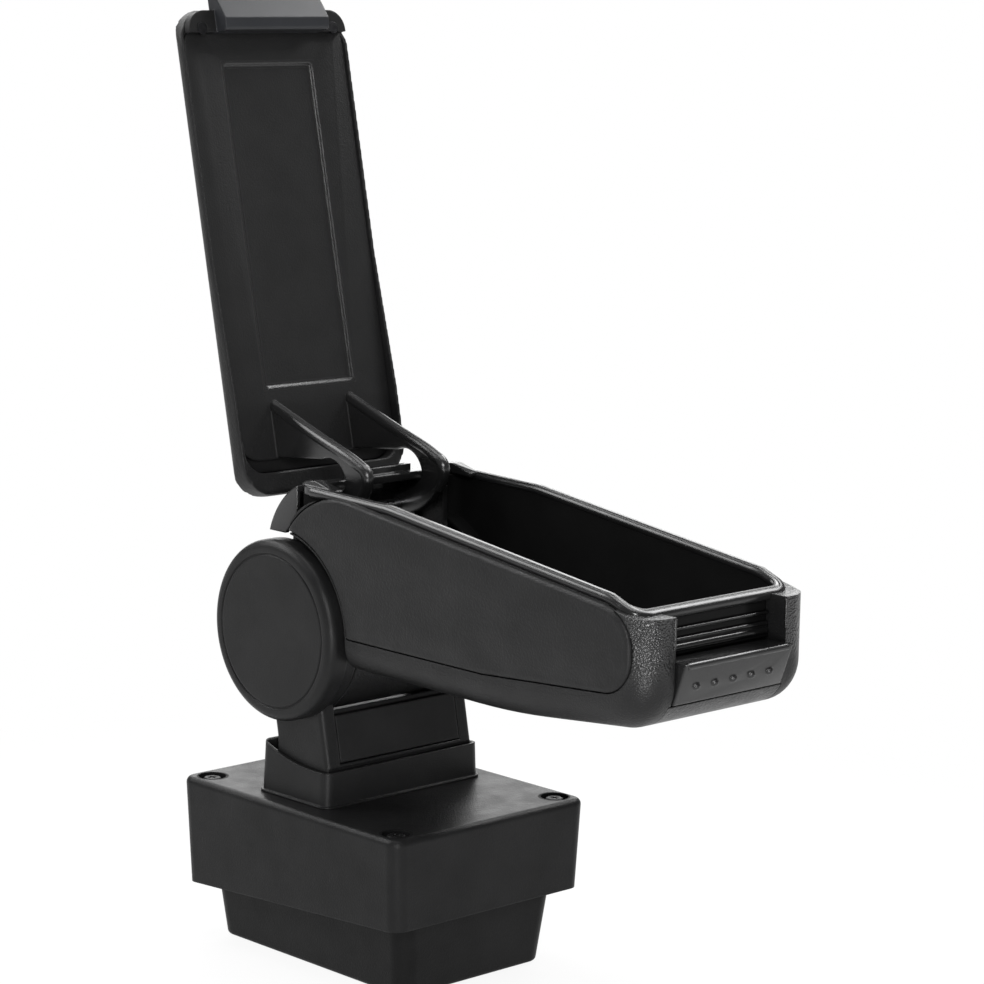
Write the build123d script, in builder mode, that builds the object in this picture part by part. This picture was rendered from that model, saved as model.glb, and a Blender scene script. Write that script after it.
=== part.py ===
"""Car centre armrest: a plug-in base, a leaning pedestal, a tilting storage box and its padded lid.

Millimetres, Z up, X across the car, front of the armrest towards -Y.
The origin is the middle of the base's underside. The lid is built standing open.
"""
from build123d import *
from math import cos, pi, radians, sin, tan
import os

os.makedirs("parts", exist_ok=True)

# Base: a tapered plug under a wider cover
plug_top_width = 103.6
plug_top_length = 147.6
plug_side_taper = 5
plug_end_taper = 4
plug_foot_width = plug_top_width - 2 * plug_side_taper
plug_foot_length = plug_top_length - 2 * plug_end_taper
plug_height = 42
plug_wall = 3
plug_corner = 9
plug_edge_round = 2
flange_thickness = 3
flange_corner = 6
cover_side_reach = 8.8
cover_end_reach = 6.4
cover_side_flare = 3.2
cover_end_flare = 1.6
cover_low_width = plug_top_width + 2 * cover_side_reach
cover_low_length = plug_top_length + 2 * cover_end_reach
cover_top_width = cover_low_width + 2 * cover_side_flare
cover_top_length = cover_low_length + 2 * cover_end_flare
cover_low_z = 20
cover_top_z = 83
cover_wall = 2.6
cover_roof = 3
cover_corner = 7
cover_edge_round = 3.2
skirt_mid_z = 32.5
skirt_slope = 0.062
fit_gap = 0.4
screw_x = cover_top_width / 2 - 11
screw_y = cover_top_length / 2 - 12
screw_shank = 4
screw_head = 9
screw_head_height = 2.4
well_diameter = 14
well_depth = 3
post_diameter = 10

# Pedestal: a leaning column in a collar, with two ears that carry the tilt axle
column_width = 96
column_round = 3
column_lean = 11.5
column_front_y = -14.5
column_front_z = 101.5
column_depth = 38
tenon_front_y = -13.6
tenon_rear_y = 23.4
foot_thickness = 5
foot_width = 108
foot_length = 72
foot_corner = 6
foot_screw_inset = 14
foot_screw_bite = 2
collar_width = 102
collar_length = 51
collar_y = 8.5
collar_wall = 1.8
collar_front_z = 101
collar_rear_z = 109
collar_bead = 1.2
collar_corner = 5
collar_inner_corner = 1.5
collar_taper = 1
axis_y = 16.3
axis_z = 167.8
ear_radius = 43
ear_thickness = 8
panel_thickness = 2.4
panel_gap = 0.7
cap_radius = 45
cap_outer_x = 59.4
cap_round = 4.5
cap_ring_radius = 38
cap_ring_width = 1
cap_ring_depth = 0.5
axle_diameter = 12
axle_head = 22
axle_head_height = 4.5
nut_across = 19
nut_height = 4.5
washer_thickness = 1.6
run_clearance = 0.05

# Arm: one moulded shell with a knuckle, a liner, padded cheeks and a front release button
arm_width = 109
shell_wall = 2.6
arm_front_corner = 14
knuckle_radius = 42.5
knuckle_half = 38.2
knuckle_skin = 3.2
hub_radius = 14
bush_wall = 2
disc_clear_radius = 49.5
floor_end_y = -24
floor_rear_z = 154.8
belly_y = -140
belly_z = 153.4
belly_round = 400
nose_y = -232.4
nose_low_z = 162.4
nose_round = 22
post_top_z = 212.6
rim_rear_z = 241
rim_knee_y = -58
rim_knee_z = 239.2
rim_front_y = -205
rim_front_z = 220.4
rim_end_y = -222.6
rim_end_rise = 1
rim_front_bar = 3.6
rim_height = 4
rim_outer_width = 101.6
rim_inner_width = 94
rim_rear_y = 8
rim_bar = 6.5
rim_corner = 9
rim_rear_corner = 9
liner_wall = 2
cheek_thickness = 4.6
cheek_round = 2
seam_z = 171.5
recess_half = 36
catch_y = -222
catch_thickness = 2.6
catch_low_z = 192.6
slot_low_z = 199.6
slot_high_z = 203.4
button_travel = 3
button_low_y = -231
button_low_z = 172.6
button_top_y = -238
button_top_z = 192
button_thickness = 2.8
button_half = 35.2
bump_count = 5
bump_pitch = 12
bump_radius = 1.9
spring_x = 22
spring_radius = 3
spring_wire = 0.7
spring_turns = 5

# Lid: a padded cushion on a board, an inner panel with two goose-neck hinge arms, and a pull nose
pin_y = 16
pin_z = 222.4
pin_diameter = 5
lid_open = 110.2
lid_slope = 7.8
panel_plane = 28.5
lid_panel_thickness = 2.5
lid_panel_rear = 30
lid_panel_front = 250
lid_panel_width = 103
lid_panel_corner = 14
lid_rear = 12
lid_front = 257
lid_width = 107
lid_corner = 20
cushion_crown = 20
board_thickness = 3
neck_x = 25
neck_thickness = 5
eye_radius = 5
nose_half = 33.5
field_width = 57
field_rear = 66
field_front = 228
field_step = 1.5

# Side views are drawn on the plane x = 0 with +Y to the right, so (y, z) are written as they are.
side = Plane.YZ
half_arm = arm_width / 2

# The lid's own side plane: origin on the hinge pin, first axis along the lid, second axis out of its top.
lid_lean = radians(lid_open - lid_slope - 90)
lid_side = Plane(origin=(0, pin_y, pin_z), x_dir=(0, sin(lid_lean), cos(lid_lean)), z_dir=(-1, 0, 0))


def lid_level(height):
    """Plane parallel to the lid panel: first axis along the lid, second axis across it."""
    spot = lid_side.from_local_coords(Vector(0, height, 0))
    return Plane(origin=spot, x_dir=lid_side.x_dir, z_dir=lid_side.y_dir)


# The base plug
flange_share = (plug_height - flange_thickness - cover_low_z) / (cover_top_z - cover_low_z)
cover_gap = 2 * (cover_wall + fit_gap)
flange_width = cover_low_width + (cover_top_width - cover_low_width) * flange_share - cover_gap
flange_length = cover_low_length + (cover_top_length - cover_low_length) * flange_share - cover_gap
plug_inner_corner = plug_corner - plug_wall
plug_walls = 2 * plug_wall
well_floor_z = cover_top_z - well_depth
post_top = well_floor_z - cover_roof
with BuildPart() as base_plug:
    with BuildSketch(Plane.XY):
        RectangleRounded(plug_foot_width, plug_foot_length, plug_corner)
    with BuildSketch(Plane.XY.offset(plug_height)):
        RectangleRounded(plug_top_width, plug_top_length, plug_corner)
    loft()
    fillet(base_plug.faces().sort_by(Axis.Z)[0].edges(), plug_edge_round)
    with BuildSketch(Plane.XY.offset(plug_wall)):
        RectangleRounded(plug_foot_width - plug_walls, plug_foot_length - plug_walls, plug_inner_corner)
    with BuildSketch(Plane.XY.offset(plug_height)):
        RectangleRounded(plug_top_width - plug_walls, plug_top_length - plug_walls, plug_inner_corner)
    loft(mode=Mode.SUBTRACT)
    with BuildSketch(Plane.XY.offset(plug_height - flange_thickness)):
        RectangleRounded(flange_width, flange_length, flange_corner)
        Rectangle(plug_top_width - plug_walls, plug_top_length - plug_walls, mode=Mode.SUBTRACT)
    extrude(amount=flange_thickness)
    with BuildSketch(Plane.XY.offset(plug_height - flange_thickness)):
        with GridLocations(2 * screw_x, 2 * screw_y, 2, 2):
            Circle(post_diameter / 2)
    extrude(amount=post_top - plug_height + flange_thickness)
    with BuildSketch(Plane.XY.offset(plug_height)):
        with GridLocations(2 * screw_x, 2 * screw_y, 2, 2):
            Circle(screw_shank / 2)
    extrude(amount=post_top - plug_height, mode=Mode.SUBTRACT)
base_plug.part.label = "base_plug"
export_step(base_plug.part, "parts/base_plug.step")

# The base cover
foot_mid_y = (tenon_front_y + tenon_rear_y) / 2
cover_walls = 2 * cover_wall
cover_inner_corner = cover_corner - cover_wall
with BuildPart() as base_cover:
    with BuildSketch(Plane.XY.offset(cover_low_z)):
        RectangleRounded(cover_low_width, cover_low_length, cover_corner)
    with BuildSketch(Plane.XY.offset(cover_top_z)):
        RectangleRounded(cover_top_width, cover_top_length, cover_corner)
    loft()
    fillet(base_cover.faces().sort_by(Axis.Z)[-1].edges(), cover_edge_round)
    with BuildSketch(Plane.XY.offset(cover_low_z)):
        RectangleRounded(cover_low_width - cover_walls, cover_low_length - cover_walls, cover_inner_corner)
    with BuildSketch(Plane.XY.offset(cover_top_z - cover_roof)):
        RectangleRounded(cover_top_width - cover_walls, cover_top_length - cover_walls, cover_inner_corner)
    loft(mode=Mode.SUBTRACT)
    split(bisect_by=Plane(origin=(0, 0, skirt_mid_z), z_dir=(0, skirt_slope, 1)), keep=Keep.TOP)
    with BuildSketch(Plane.XY.offset(well_floor_z - cover_roof)):
        with GridLocations(2 * screw_x, 2 * screw_y, 2, 2):
            Circle(well_diameter / 2 + cover_wall)
    extrude(amount=well_depth)
    with BuildSketch(Plane.XY.offset(well_floor_z)):
        with GridLocations(2 * screw_x, 2 * screw_y, 2, 2):
            Circle(well_diameter / 2)
    extrude(amount=well_depth, mode=Mode.SUBTRACT)
    with BuildSketch(Plane.XY.offset(well_floor_z - cover_roof)):
        with GridLocations(2 * screw_x, 2 * screw_y, 2, 2):
            Circle(screw_shank / 2 + fit_gap)
    extrude(amount=cover_roof, mode=Mode.SUBTRACT)
    with BuildSketch(Plane.XY.offset(cover_top_z - cover_roof)):
        with Locations((0, foot_mid_y)):
            Rectangle(column_width + 2 * fit_gap, tenon_rear_y - tenon_front_y + 2 * fit_gap)
    extrude(amount=cover_roof, mode=Mode.SUBTRACT)
    with BuildSketch(Plane.XY.offset(cover_top_z - cover_roof)):
        with Locations((0, foot_mid_y)):
            with GridLocations(foot_width - foot_screw_inset, foot_length - foot_screw_inset, 2, 2):
                Circle(screw_shank / 2)
    extrude(amount=foot_screw_bite, mode=Mode.SUBTRACT)
base_cover.part.label = "base_cover"
export_step(base_cover.part, "parts/base_cover.step")

# Four pan-head screws hold the cover to the plug
screw_depth = 14
drive_depth = 1.4
drive_span = 4.6
drive_width = 1.1
head_round = 1
with BuildPart() as base_screws:
    with BuildSketch(Plane.XY.offset(well_floor_z)):
        with GridLocations(2 * screw_x, 2 * screw_y, 2, 2):
            Circle(screw_head / 2)
    extrude(amount=screw_head_height)
    fillet(base_screws.edges().group_by(Axis.Z)[-1], head_round)
    with BuildSketch(Plane.XY.offset(well_floor_z - cover_roof - screw_depth)):
        with GridLocations(2 * screw_x, 2 * screw_y, 2, 2):
            Circle(screw_shank / 2)
    extrude(amount=screw_depth + cover_roof)
    with BuildSketch(Plane.XY.offset(well_floor_z + screw_head_height - drive_depth)):
        with GridLocations(2 * screw_x, 2 * screw_y, 2, 2):
            Rectangle(drive_span, drive_width)
            Rectangle(drive_width, drive_span)
    extrude(amount=drive_depth, mode=Mode.SUBTRACT)
base_screws.part.label = "base_screws"
export_step(base_screws.part, "parts/base_screws.step")

# The pedestal column with its foot and two ears
lean = tan(radians(column_lean))
foot_top_z = cover_top_z - cover_roof
tenon_top_z = column_front_z + 0.5
panel_seat = panel_thickness + panel_gap
recess_open = 5
half_column = column_width / 2
ear_inner_x = half_column - ear_thickness
knuckle_gap = 2
core_wall = 5
head_cavity = axle_head / 2 + 1.5


def column_front(z):
    """Y of the column's front face at height z."""
    return column_front_y + lean * (z - column_front_z)


def column_back(z):
    """Y of the column's rear face at height z."""
    return column_front(z) + column_depth


panel_low_z = tenon_top_z + 1.5
front_panel_rise = 1.7
rear_panel_drop = 3.3
front_panel_top_z = axis_z - knuckle_radius + front_panel_rise
rear_panel_top_z = axis_z - knuckle_radius - rear_panel_drop
with BuildPart() as pedestal_column:
    with BuildSketch(side):
        with BuildLine():
            Polyline(
                (tenon_front_y, foot_top_z - foot_thickness),
                (tenon_front_y, tenon_top_z),
                (column_front(tenon_top_z), tenon_top_z),
                (column_front(axis_z), axis_z),
                (column_back(axis_z), axis_z),
                (column_back(tenon_top_z), tenon_top_z),
                (tenon_rear_y, foot_top_z - foot_thickness),
                close=True,
            )
        make_face()
    extrude(amount=half_column, both=True)
    upright_edges = pedestal_column.edges().filter_by(Plane.YZ).filter_by(lambda e: e.length > column_depth)
    fillet(upright_edges, column_round)
    with BuildSketch(side.offset(-half_column)):
        with Locations((axis_y, axis_z)):
            Circle(ear_radius)
    extrude(amount=column_width)
    with BuildSketch(side):
        with Locations((axis_y, axis_z)):
            Circle(knuckle_radius + knuckle_gap)
    extrude(amount=ear_inner_x, both=True, mode=Mode.SUBTRACT)
    with BuildSketch(side):
        with BuildLine():
            Polyline(
                (column_front(panel_low_z) - recess_open, panel_low_z),
                (column_front(panel_low_z) + panel_seat, panel_low_z),
                (column_front(axis_z) + panel_seat, axis_z),
                (column_front(axis_z) - recess_open, axis_z),
                close=True,
            )
        make_face()
        with BuildLine():
            Polyline(
                (column_back(panel_low_z) + recess_open, panel_low_z),
                (column_back(panel_low_z) - panel_seat, panel_low_z),
                (column_back(axis_z) - panel_seat, axis_z),
                (column_back(axis_z) + recess_open, axis_z),
                close=True,
            )
        make_face()
    extrude(amount=ear_inner_x, both=True, mode=Mode.SUBTRACT)
    with BuildSketch(Plane.XY.offset(foot_top_z - foot_thickness)):
        with Locations((0, foot_mid_y)):
            RectangleRounded(foot_width, foot_length, foot_corner)
    extrude(amount=foot_thickness)
    with BuildSketch(Plane.XY.offset(foot_top_z - foot_thickness)):
        with Locations((0, foot_mid_y)):
            Rectangle(column_width - 4 * core_wall, tenon_rear_y - tenon_front_y - 3 * core_wall)
    extrude(amount=tenon_top_z - foot_top_z + foot_thickness, mode=Mode.SUBTRACT)
    with BuildSketch(side.offset(-half_column)):
        with Locations((axis_y, axis_z)):
            Circle(axle_diameter / 2 + run_clearance)
    extrude(amount=column_width, mode=Mode.SUBTRACT)
    with BuildSketch(Plane.XY.offset(foot_top_z - foot_thickness)):
        with Locations((0, foot_mid_y)):
            with GridLocations(foot_width - foot_screw_inset, foot_length - foot_screw_inset, 2, 2):
                Circle(screw_shank / 2 + fit_gap)
    extrude(amount=foot_thickness, mode=Mode.SUBTRACT)
pedestal_column.part.label = "pedestal_column"
export_step(pedestal_column.part, "parts/pedestal_column.step")

# Cover panels on the front and rear of the column
with BuildPart() as column_front_panel:
    with BuildSketch(side):
        with BuildLine():
            Polyline(
                (column_front(panel_low_z + panel_gap), panel_low_z + panel_gap),
                (column_front(panel_low_z + panel_gap) + panel_seat, panel_low_z + panel_gap),
                (column_front(front_panel_top_z) + panel_seat, front_panel_top_z),
                (column_front(front_panel_top_z), front_panel_top_z),
                close=True,
            )
        make_face()
    extrude(amount=ear_inner_x - panel_gap, both=True)
column_front_panel.part.label = "column_front_panel"
export_step(column_front_panel.part, "parts/column_front_panel.step")

with BuildPart() as column_rear_panel:
    with BuildSketch(side):
        with BuildLine():
            Polyline(
                (column_back(panel_low_z + panel_gap), panel_low_z + panel_gap),
                (column_back(panel_low_z + panel_gap) - panel_seat, panel_low_z + panel_gap),
                (column_back(rear_panel_top_z) - panel_seat, rear_panel_top_z),
                (column_back(rear_panel_top_z), rear_panel_top_z),
                close=True,
            )
        make_face()
    extrude(amount=ear_inner_x - panel_gap, both=True)
column_rear_panel.part.label = "column_rear_panel"
export_step(column_rear_panel.part, "parts/column_rear_panel.step")

# A steel plate and four screws clamp the foot up against the cover
plate_thickness = 2
with BuildPart() as foot_plate:
    with BuildSketch(Plane.XY.offset(foot_top_z - foot_thickness - plate_thickness)):
        with Locations((0, foot_mid_y)):
            RectangleRounded(foot_width, foot_length, foot_corner)
            with GridLocations(foot_width - foot_screw_inset, foot_length - foot_screw_inset, 2, 2):
                Circle(screw_shank / 2 + fit_gap, mode=Mode.SUBTRACT)
    extrude(amount=plate_thickness)
foot_plate.part.label = "foot_plate"
export_step(foot_plate.part, "parts/foot_plate.step")

with BuildPart() as foot_screws:
    with BuildSketch(Plane.XY.offset(foot_top_z - foot_thickness - plate_thickness - screw_head_height)):
        with Locations((0, foot_mid_y)):
            with GridLocations(foot_width - foot_screw_inset, foot_length - foot_screw_inset, 2, 2):
                Circle(screw_head / 2)
    extrude(amount=screw_head_height)
    with BuildSketch(Plane.XY.offset(foot_top_z - foot_thickness - plate_thickness)):
        with Locations((0, foot_mid_y)):
            with GridLocations(foot_width - foot_screw_inset, foot_length - foot_screw_inset, 2, 2):
                Circle(screw_shank / 2)
    extrude(amount=plate_thickness + foot_thickness + foot_screw_bite)
foot_screws.part.label = "foot_screws"
export_step(foot_screws.part, "parts/foot_screws.step")

# The collar round the column's foot, cut higher at the rear
bead_width = collar_width + collar_taper + 2 * collar_bead
bead_length = collar_length + 2 * collar_bead
collar_bore_width = collar_width - collar_taper - 2 * collar_wall
collar_bore_length = collar_length - collar_taper - 2 * collar_wall
sweep_front_y = collar_y - collar_length / 2 - collar_bead
sweep_rear_y = collar_y + collar_length / 2
with BuildPart() as pedestal_collar:
    with BuildSketch(Plane.XY.offset(cover_top_z)):
        with Locations((0, collar_y)):
            RectangleRounded(collar_width + collar_taper, collar_length, collar_corner)
    with BuildSketch(Plane.XY.offset(collar_rear_z)):
        with Locations((0, collar_y)):
            RectangleRounded(collar_width - collar_taper, collar_length - collar_taper, collar_corner)
    loft()
    with BuildSketch(Plane.XY.offset(cover_top_z)):
        with Locations((0, collar_y)):
            RectangleRounded(bead_width, bead_length, collar_corner + collar_bead)
    extrude(amount=collar_bead)
    with BuildSketch(Plane.XY.offset(cover_top_z)):
        with Locations((0, collar_y)):
            RectangleRounded(collar_bore_width, collar_bore_length, collar_inner_corner)
    extrude(amount=collar_rear_z - cover_top_z, mode=Mode.SUBTRACT)
    with BuildSketch(side):
        with BuildLine():
            ThreePointArc(
                (sweep_front_y, collar_front_z),
                (13, collar_front_z + 1.6),
                (sweep_rear_y, collar_rear_z),
            )
            Line((sweep_rear_y, collar_rear_z), (sweep_front_y, collar_rear_z))
            Line((sweep_front_y, collar_rear_z), (sweep_front_y, collar_front_z))
        make_face()
    extrude(amount=collar_width, both=True, mode=Mode.SUBTRACT)
pedestal_collar.part.label = "pedestal_collar"
export_step(pedestal_collar.part, "parts/pedestal_collar.step")

# Round caps over the ends of the tilt axle
cap_depth = 7
for cap_name, hand in (("pivot_cap_left", -1), ("pivot_cap_right", 1)):
    with BuildPart() as pivot_cap:
        with BuildSketch(side.offset(hand * half_column)):
            with Locations((axis_y, axis_z)):
                Circle(cap_radius)
        extrude(amount=hand * (cap_outer_x - half_column))
        fillet(pivot_cap.faces().sort_by(Axis.X)[-1 if hand > 0 else 0].edges(), cap_round)
        with BuildSketch(side.offset(hand * cap_outer_x)):
            with Locations((axis_y, axis_z)):
                Circle(cap_ring_radius + cap_ring_width / 2)
                Circle(cap_ring_radius - cap_ring_width / 2, mode=Mode.SUBTRACT)
        extrude(amount=-hand * cap_ring_depth, mode=Mode.SUBTRACT)
        with BuildSketch(side.offset(hand * half_column)):
            with Locations((axis_y, axis_z)):
                Circle(head_cavity)
        extrude(amount=hand * cap_depth, mode=Mode.SUBTRACT)
    pivot_cap.part.label = cap_name
    export_step(pivot_cap.part, f"parts/{cap_name}.step")

# The tilt axle with its head, and its nut, washers and friction washers
axle_seat_x = half_column + washer_thickness
with BuildPart() as tilt_axle:
    with BuildSketch(side.offset(-axle_seat_x - axle_head_height)):
        with Locations((axis_y, axis_z)):
            Circle(axle_head / 2)
    extrude(amount=axle_head_height)
    fillet(tilt_axle.faces().sort_by(Axis.X)[0].edges(), head_round)
    with BuildSketch(side.offset(-axle_seat_x)):
        with Locations((axis_y, axis_z)):
            Circle(axle_diameter / 2)
    extrude(amount=2 * axle_seat_x + nut_height)
tilt_axle.part.label = "tilt_axle"
export_step(tilt_axle.part, "parts/tilt_axle.step")

with BuildPart() as axle_nut:
    with BuildSketch(side.offset(axle_seat_x)):
        with Locations((axis_y, axis_z)):
            RegularPolygon(nut_across / 2, 6, major_radius=False)
            Circle(axle_diameter / 2, mode=Mode.SUBTRACT)
    extrude(amount=nut_height)
axle_nut.part.label = "axle_nut"
export_step(axle_nut.part, "parts/axle_nut.step")

with BuildPart() as axle_washers:
    with BuildSketch(side.offset(half_column), side.offset(-half_column - washer_thickness)):
        with Locations((axis_y, axis_z)):
            Circle(axle_head / 2)
            Circle(axle_diameter / 2 + run_clearance, mode=Mode.SUBTRACT)
    extrude(amount=washer_thickness, dir=(1, 0, 0))
axle_washers.part.label = "axle_washers"
export_step(axle_washers.part, "parts/axle_washers.step")

friction_gap = 0.2
with BuildPart() as friction_washers:
    with BuildSketch(side.offset(knuckle_half + friction_gap), side.offset(-ear_inner_x)):
        with Locations((axis_y, axis_z)):
            Circle(hub_radius - 1)
            Circle(axle_diameter / 2 + run_clearance, mode=Mode.SUBTRACT)
    extrude(amount=ear_inner_x - knuckle_half - friction_gap, dir=(1, 0, 0))
friction_washers.part.label = "friction_washers"
export_step(friction_washers.part, "parts/friction_washers.step")

# The arm's outer form, shared by the shell and the front lip
above_z = 300
beyond_front_y = -260
bulkhead_y = catch_y + catch_thickness
bulkhead_thickness = 2.4
cavity_half = 49
cheek_inner_x = half_arm - 3.5
under_rim = rim_height + 0.2


def rim_top(y):
    """Height of the rim's straight front run at y."""
    return rim_front_z + (rim_knee_z - rim_front_z) * (y - rim_front_y) / (rim_knee_y - rim_front_y)


def floor_at(y):
    """Height of the arm's underside at y: lowest at the belly, rising to the nose and to the rear end."""
    end_y, end_z = (nose_y, nose_low_z) if y < belly_y else (floor_end_y, floor_rear_z)
    return belly_z + (end_z - belly_z) * (y - belly_y) / (end_y - belly_y)


rim_rise = (rim_rear_z - rim_knee_z) / (rim_rear_y - rim_knee_y)
shoulder_y = -20
shoulder_z = rim_knee_z + rim_rise * (shoulder_y - rim_knee_y) - under_rim
shoulder_low_z = 222.2
with BuildPart() as arm_form:
    with BuildSketch(side):
        with BuildLine():
            Line((floor_end_y, floor_rear_z), (belly_y, belly_z))
            Line((belly_y, belly_z), (nose_y, nose_low_z))
            Line((nose_y, nose_low_z), (nose_y, post_top_z))
            Line((nose_y, post_top_z), (rim_end_y, post_top_z))
            Line((rim_end_y, post_top_z), (rim_front_y, rim_front_z - under_rim))
            Line((rim_front_y, rim_front_z - under_rim), (rim_knee_y, rim_knee_z - under_rim))
            Line((rim_knee_y, rim_knee_z - under_rim), (shoulder_y, shoulder_z))
            ThreePointArc((shoulder_y, shoulder_z), (-2, 231.8), (rim_rear_y, shoulder_low_z))
            Line((rim_rear_y, shoulder_low_z), (rim_rear_y, axis_z))
            Line((rim_rear_y, axis_z), (floor_end_y, floor_rear_z))
        make_face()
        fillet(vertices().sort_by_distance((belly_y, belly_z))[0], belly_round)
        fillet(vertices().sort_by_distance((nose_y, nose_low_z))[0], nose_round)
    extrude(amount=half_arm, both=True)
    flank_edges = arm_form.faces().filter_by(Axis.X).edges()
    lower_edges = flank_edges.filter_by(lambda e: e.center().Y < floor_end_y and e.center().Z < post_top_z - 1)
    fillet(lower_edges, arm_front_corner)

# The arm shell: hollow, with a knuckle and hub round the axle, cheek pockets and the front recess
lip_half = 37.4
lip_rear_y = bulkhead_y + bulkhead_thickness
lip_top_z = button_low_z - 0.9
pocket_depth_z = 188
pocket_reach = 8
cavity_rear_y = -34
knuckle_end_wall = 3.2
cheek_gap = 0.4
tab_y = -227
tab_low_z = 176
tab_high_z = 188
tab_reach = 2.6
small_screw = 3
small_head = 6
small_head_height = 1.5
screw_ease = 0.2
cover_screw_y = 20.5
cover_screw_z = 214.8
liner_screw_x = 33
liner_screw_front_y = -195
liner_screw_rear_y = -65
liner_screw_bite = 2.2
liner_boss = 9
liner_floor_z = floor_at(lip_rear_y) + shell_wall + 0.3
liner_screw_spots = [
    (x, y) for x in (-liner_screw_x, liner_screw_x) for y in (liner_screw_front_y, liner_screw_rear_y)
]
cheek_front_y = -222.5
cheek_front_z = 178
cheek_bend_y = -129
cheek_rear_y = -34
cheek_tail_y = 10
cheek_corner = 17
cheek_radius = disc_clear_radius + 1.2
cheek_low_y = axis_y - (cheek_radius ** 2 - (seam_z - axis_z) ** 2) ** 0.5
cheek_tail_z = axis_z + (cheek_radius ** 2 - (axis_y - cheek_tail_y) ** 2) ** 0.5
cheek_rear_z = rim_top(cheek_rear_y) - under_rim
with BuildSketch() as cheek_outline:
    with BuildLine():
        Line((cheek_low_y, seam_z), (cheek_bend_y, seam_z))
        Line((cheek_bend_y, seam_z), (cheek_front_y, cheek_front_z))
        Line((cheek_front_y, cheek_front_z), (cheek_front_y, post_top_z - 1))
        Line((cheek_front_y, post_top_z - 1), (rim_front_y, rim_front_z - under_rim))
        Line((rim_front_y, rim_front_z - under_rim), (cheek_rear_y, cheek_rear_z))
        ThreePointArc((cheek_rear_y, cheek_rear_z), (-5, 231.9), (cheek_tail_y, cheek_tail_z))
        ThreePointArc(
            (cheek_tail_y, cheek_tail_z),
            (axis_y - cheek_radius * cos(pi / 4), axis_z + cheek_radius * sin(pi / 4)),
            (cheek_low_y, seam_z),
        )
    make_face()
    fillet(cheek_outline.vertices().group_by(Axis.X)[0], cheek_corner)

box_chamfer = 9


def chamfer_floor(box):
    """Chamfer the floor of a box form along its front and both sides."""
    chamfer(box.faces().sort_by(Axis.Z)[0].edges().sort_by(Axis.Y)[:-1], box_chamfer)


# The hollow of the shell that takes the liner
with BuildPart() as box_room:
    with BuildSketch(side):
        with BuildLine():
            Polyline(
                (lip_rear_y, floor_at(lip_rear_y) + shell_wall),
                (cavity_rear_y, floor_at(cavity_rear_y) + shell_wall),
                (cavity_rear_y, above_z),
                (lip_rear_y, above_z),
                close=True,
            )
        make_face()
    extrude(amount=cavity_half, both=True)
    chamfer_floor(box_room)

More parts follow.
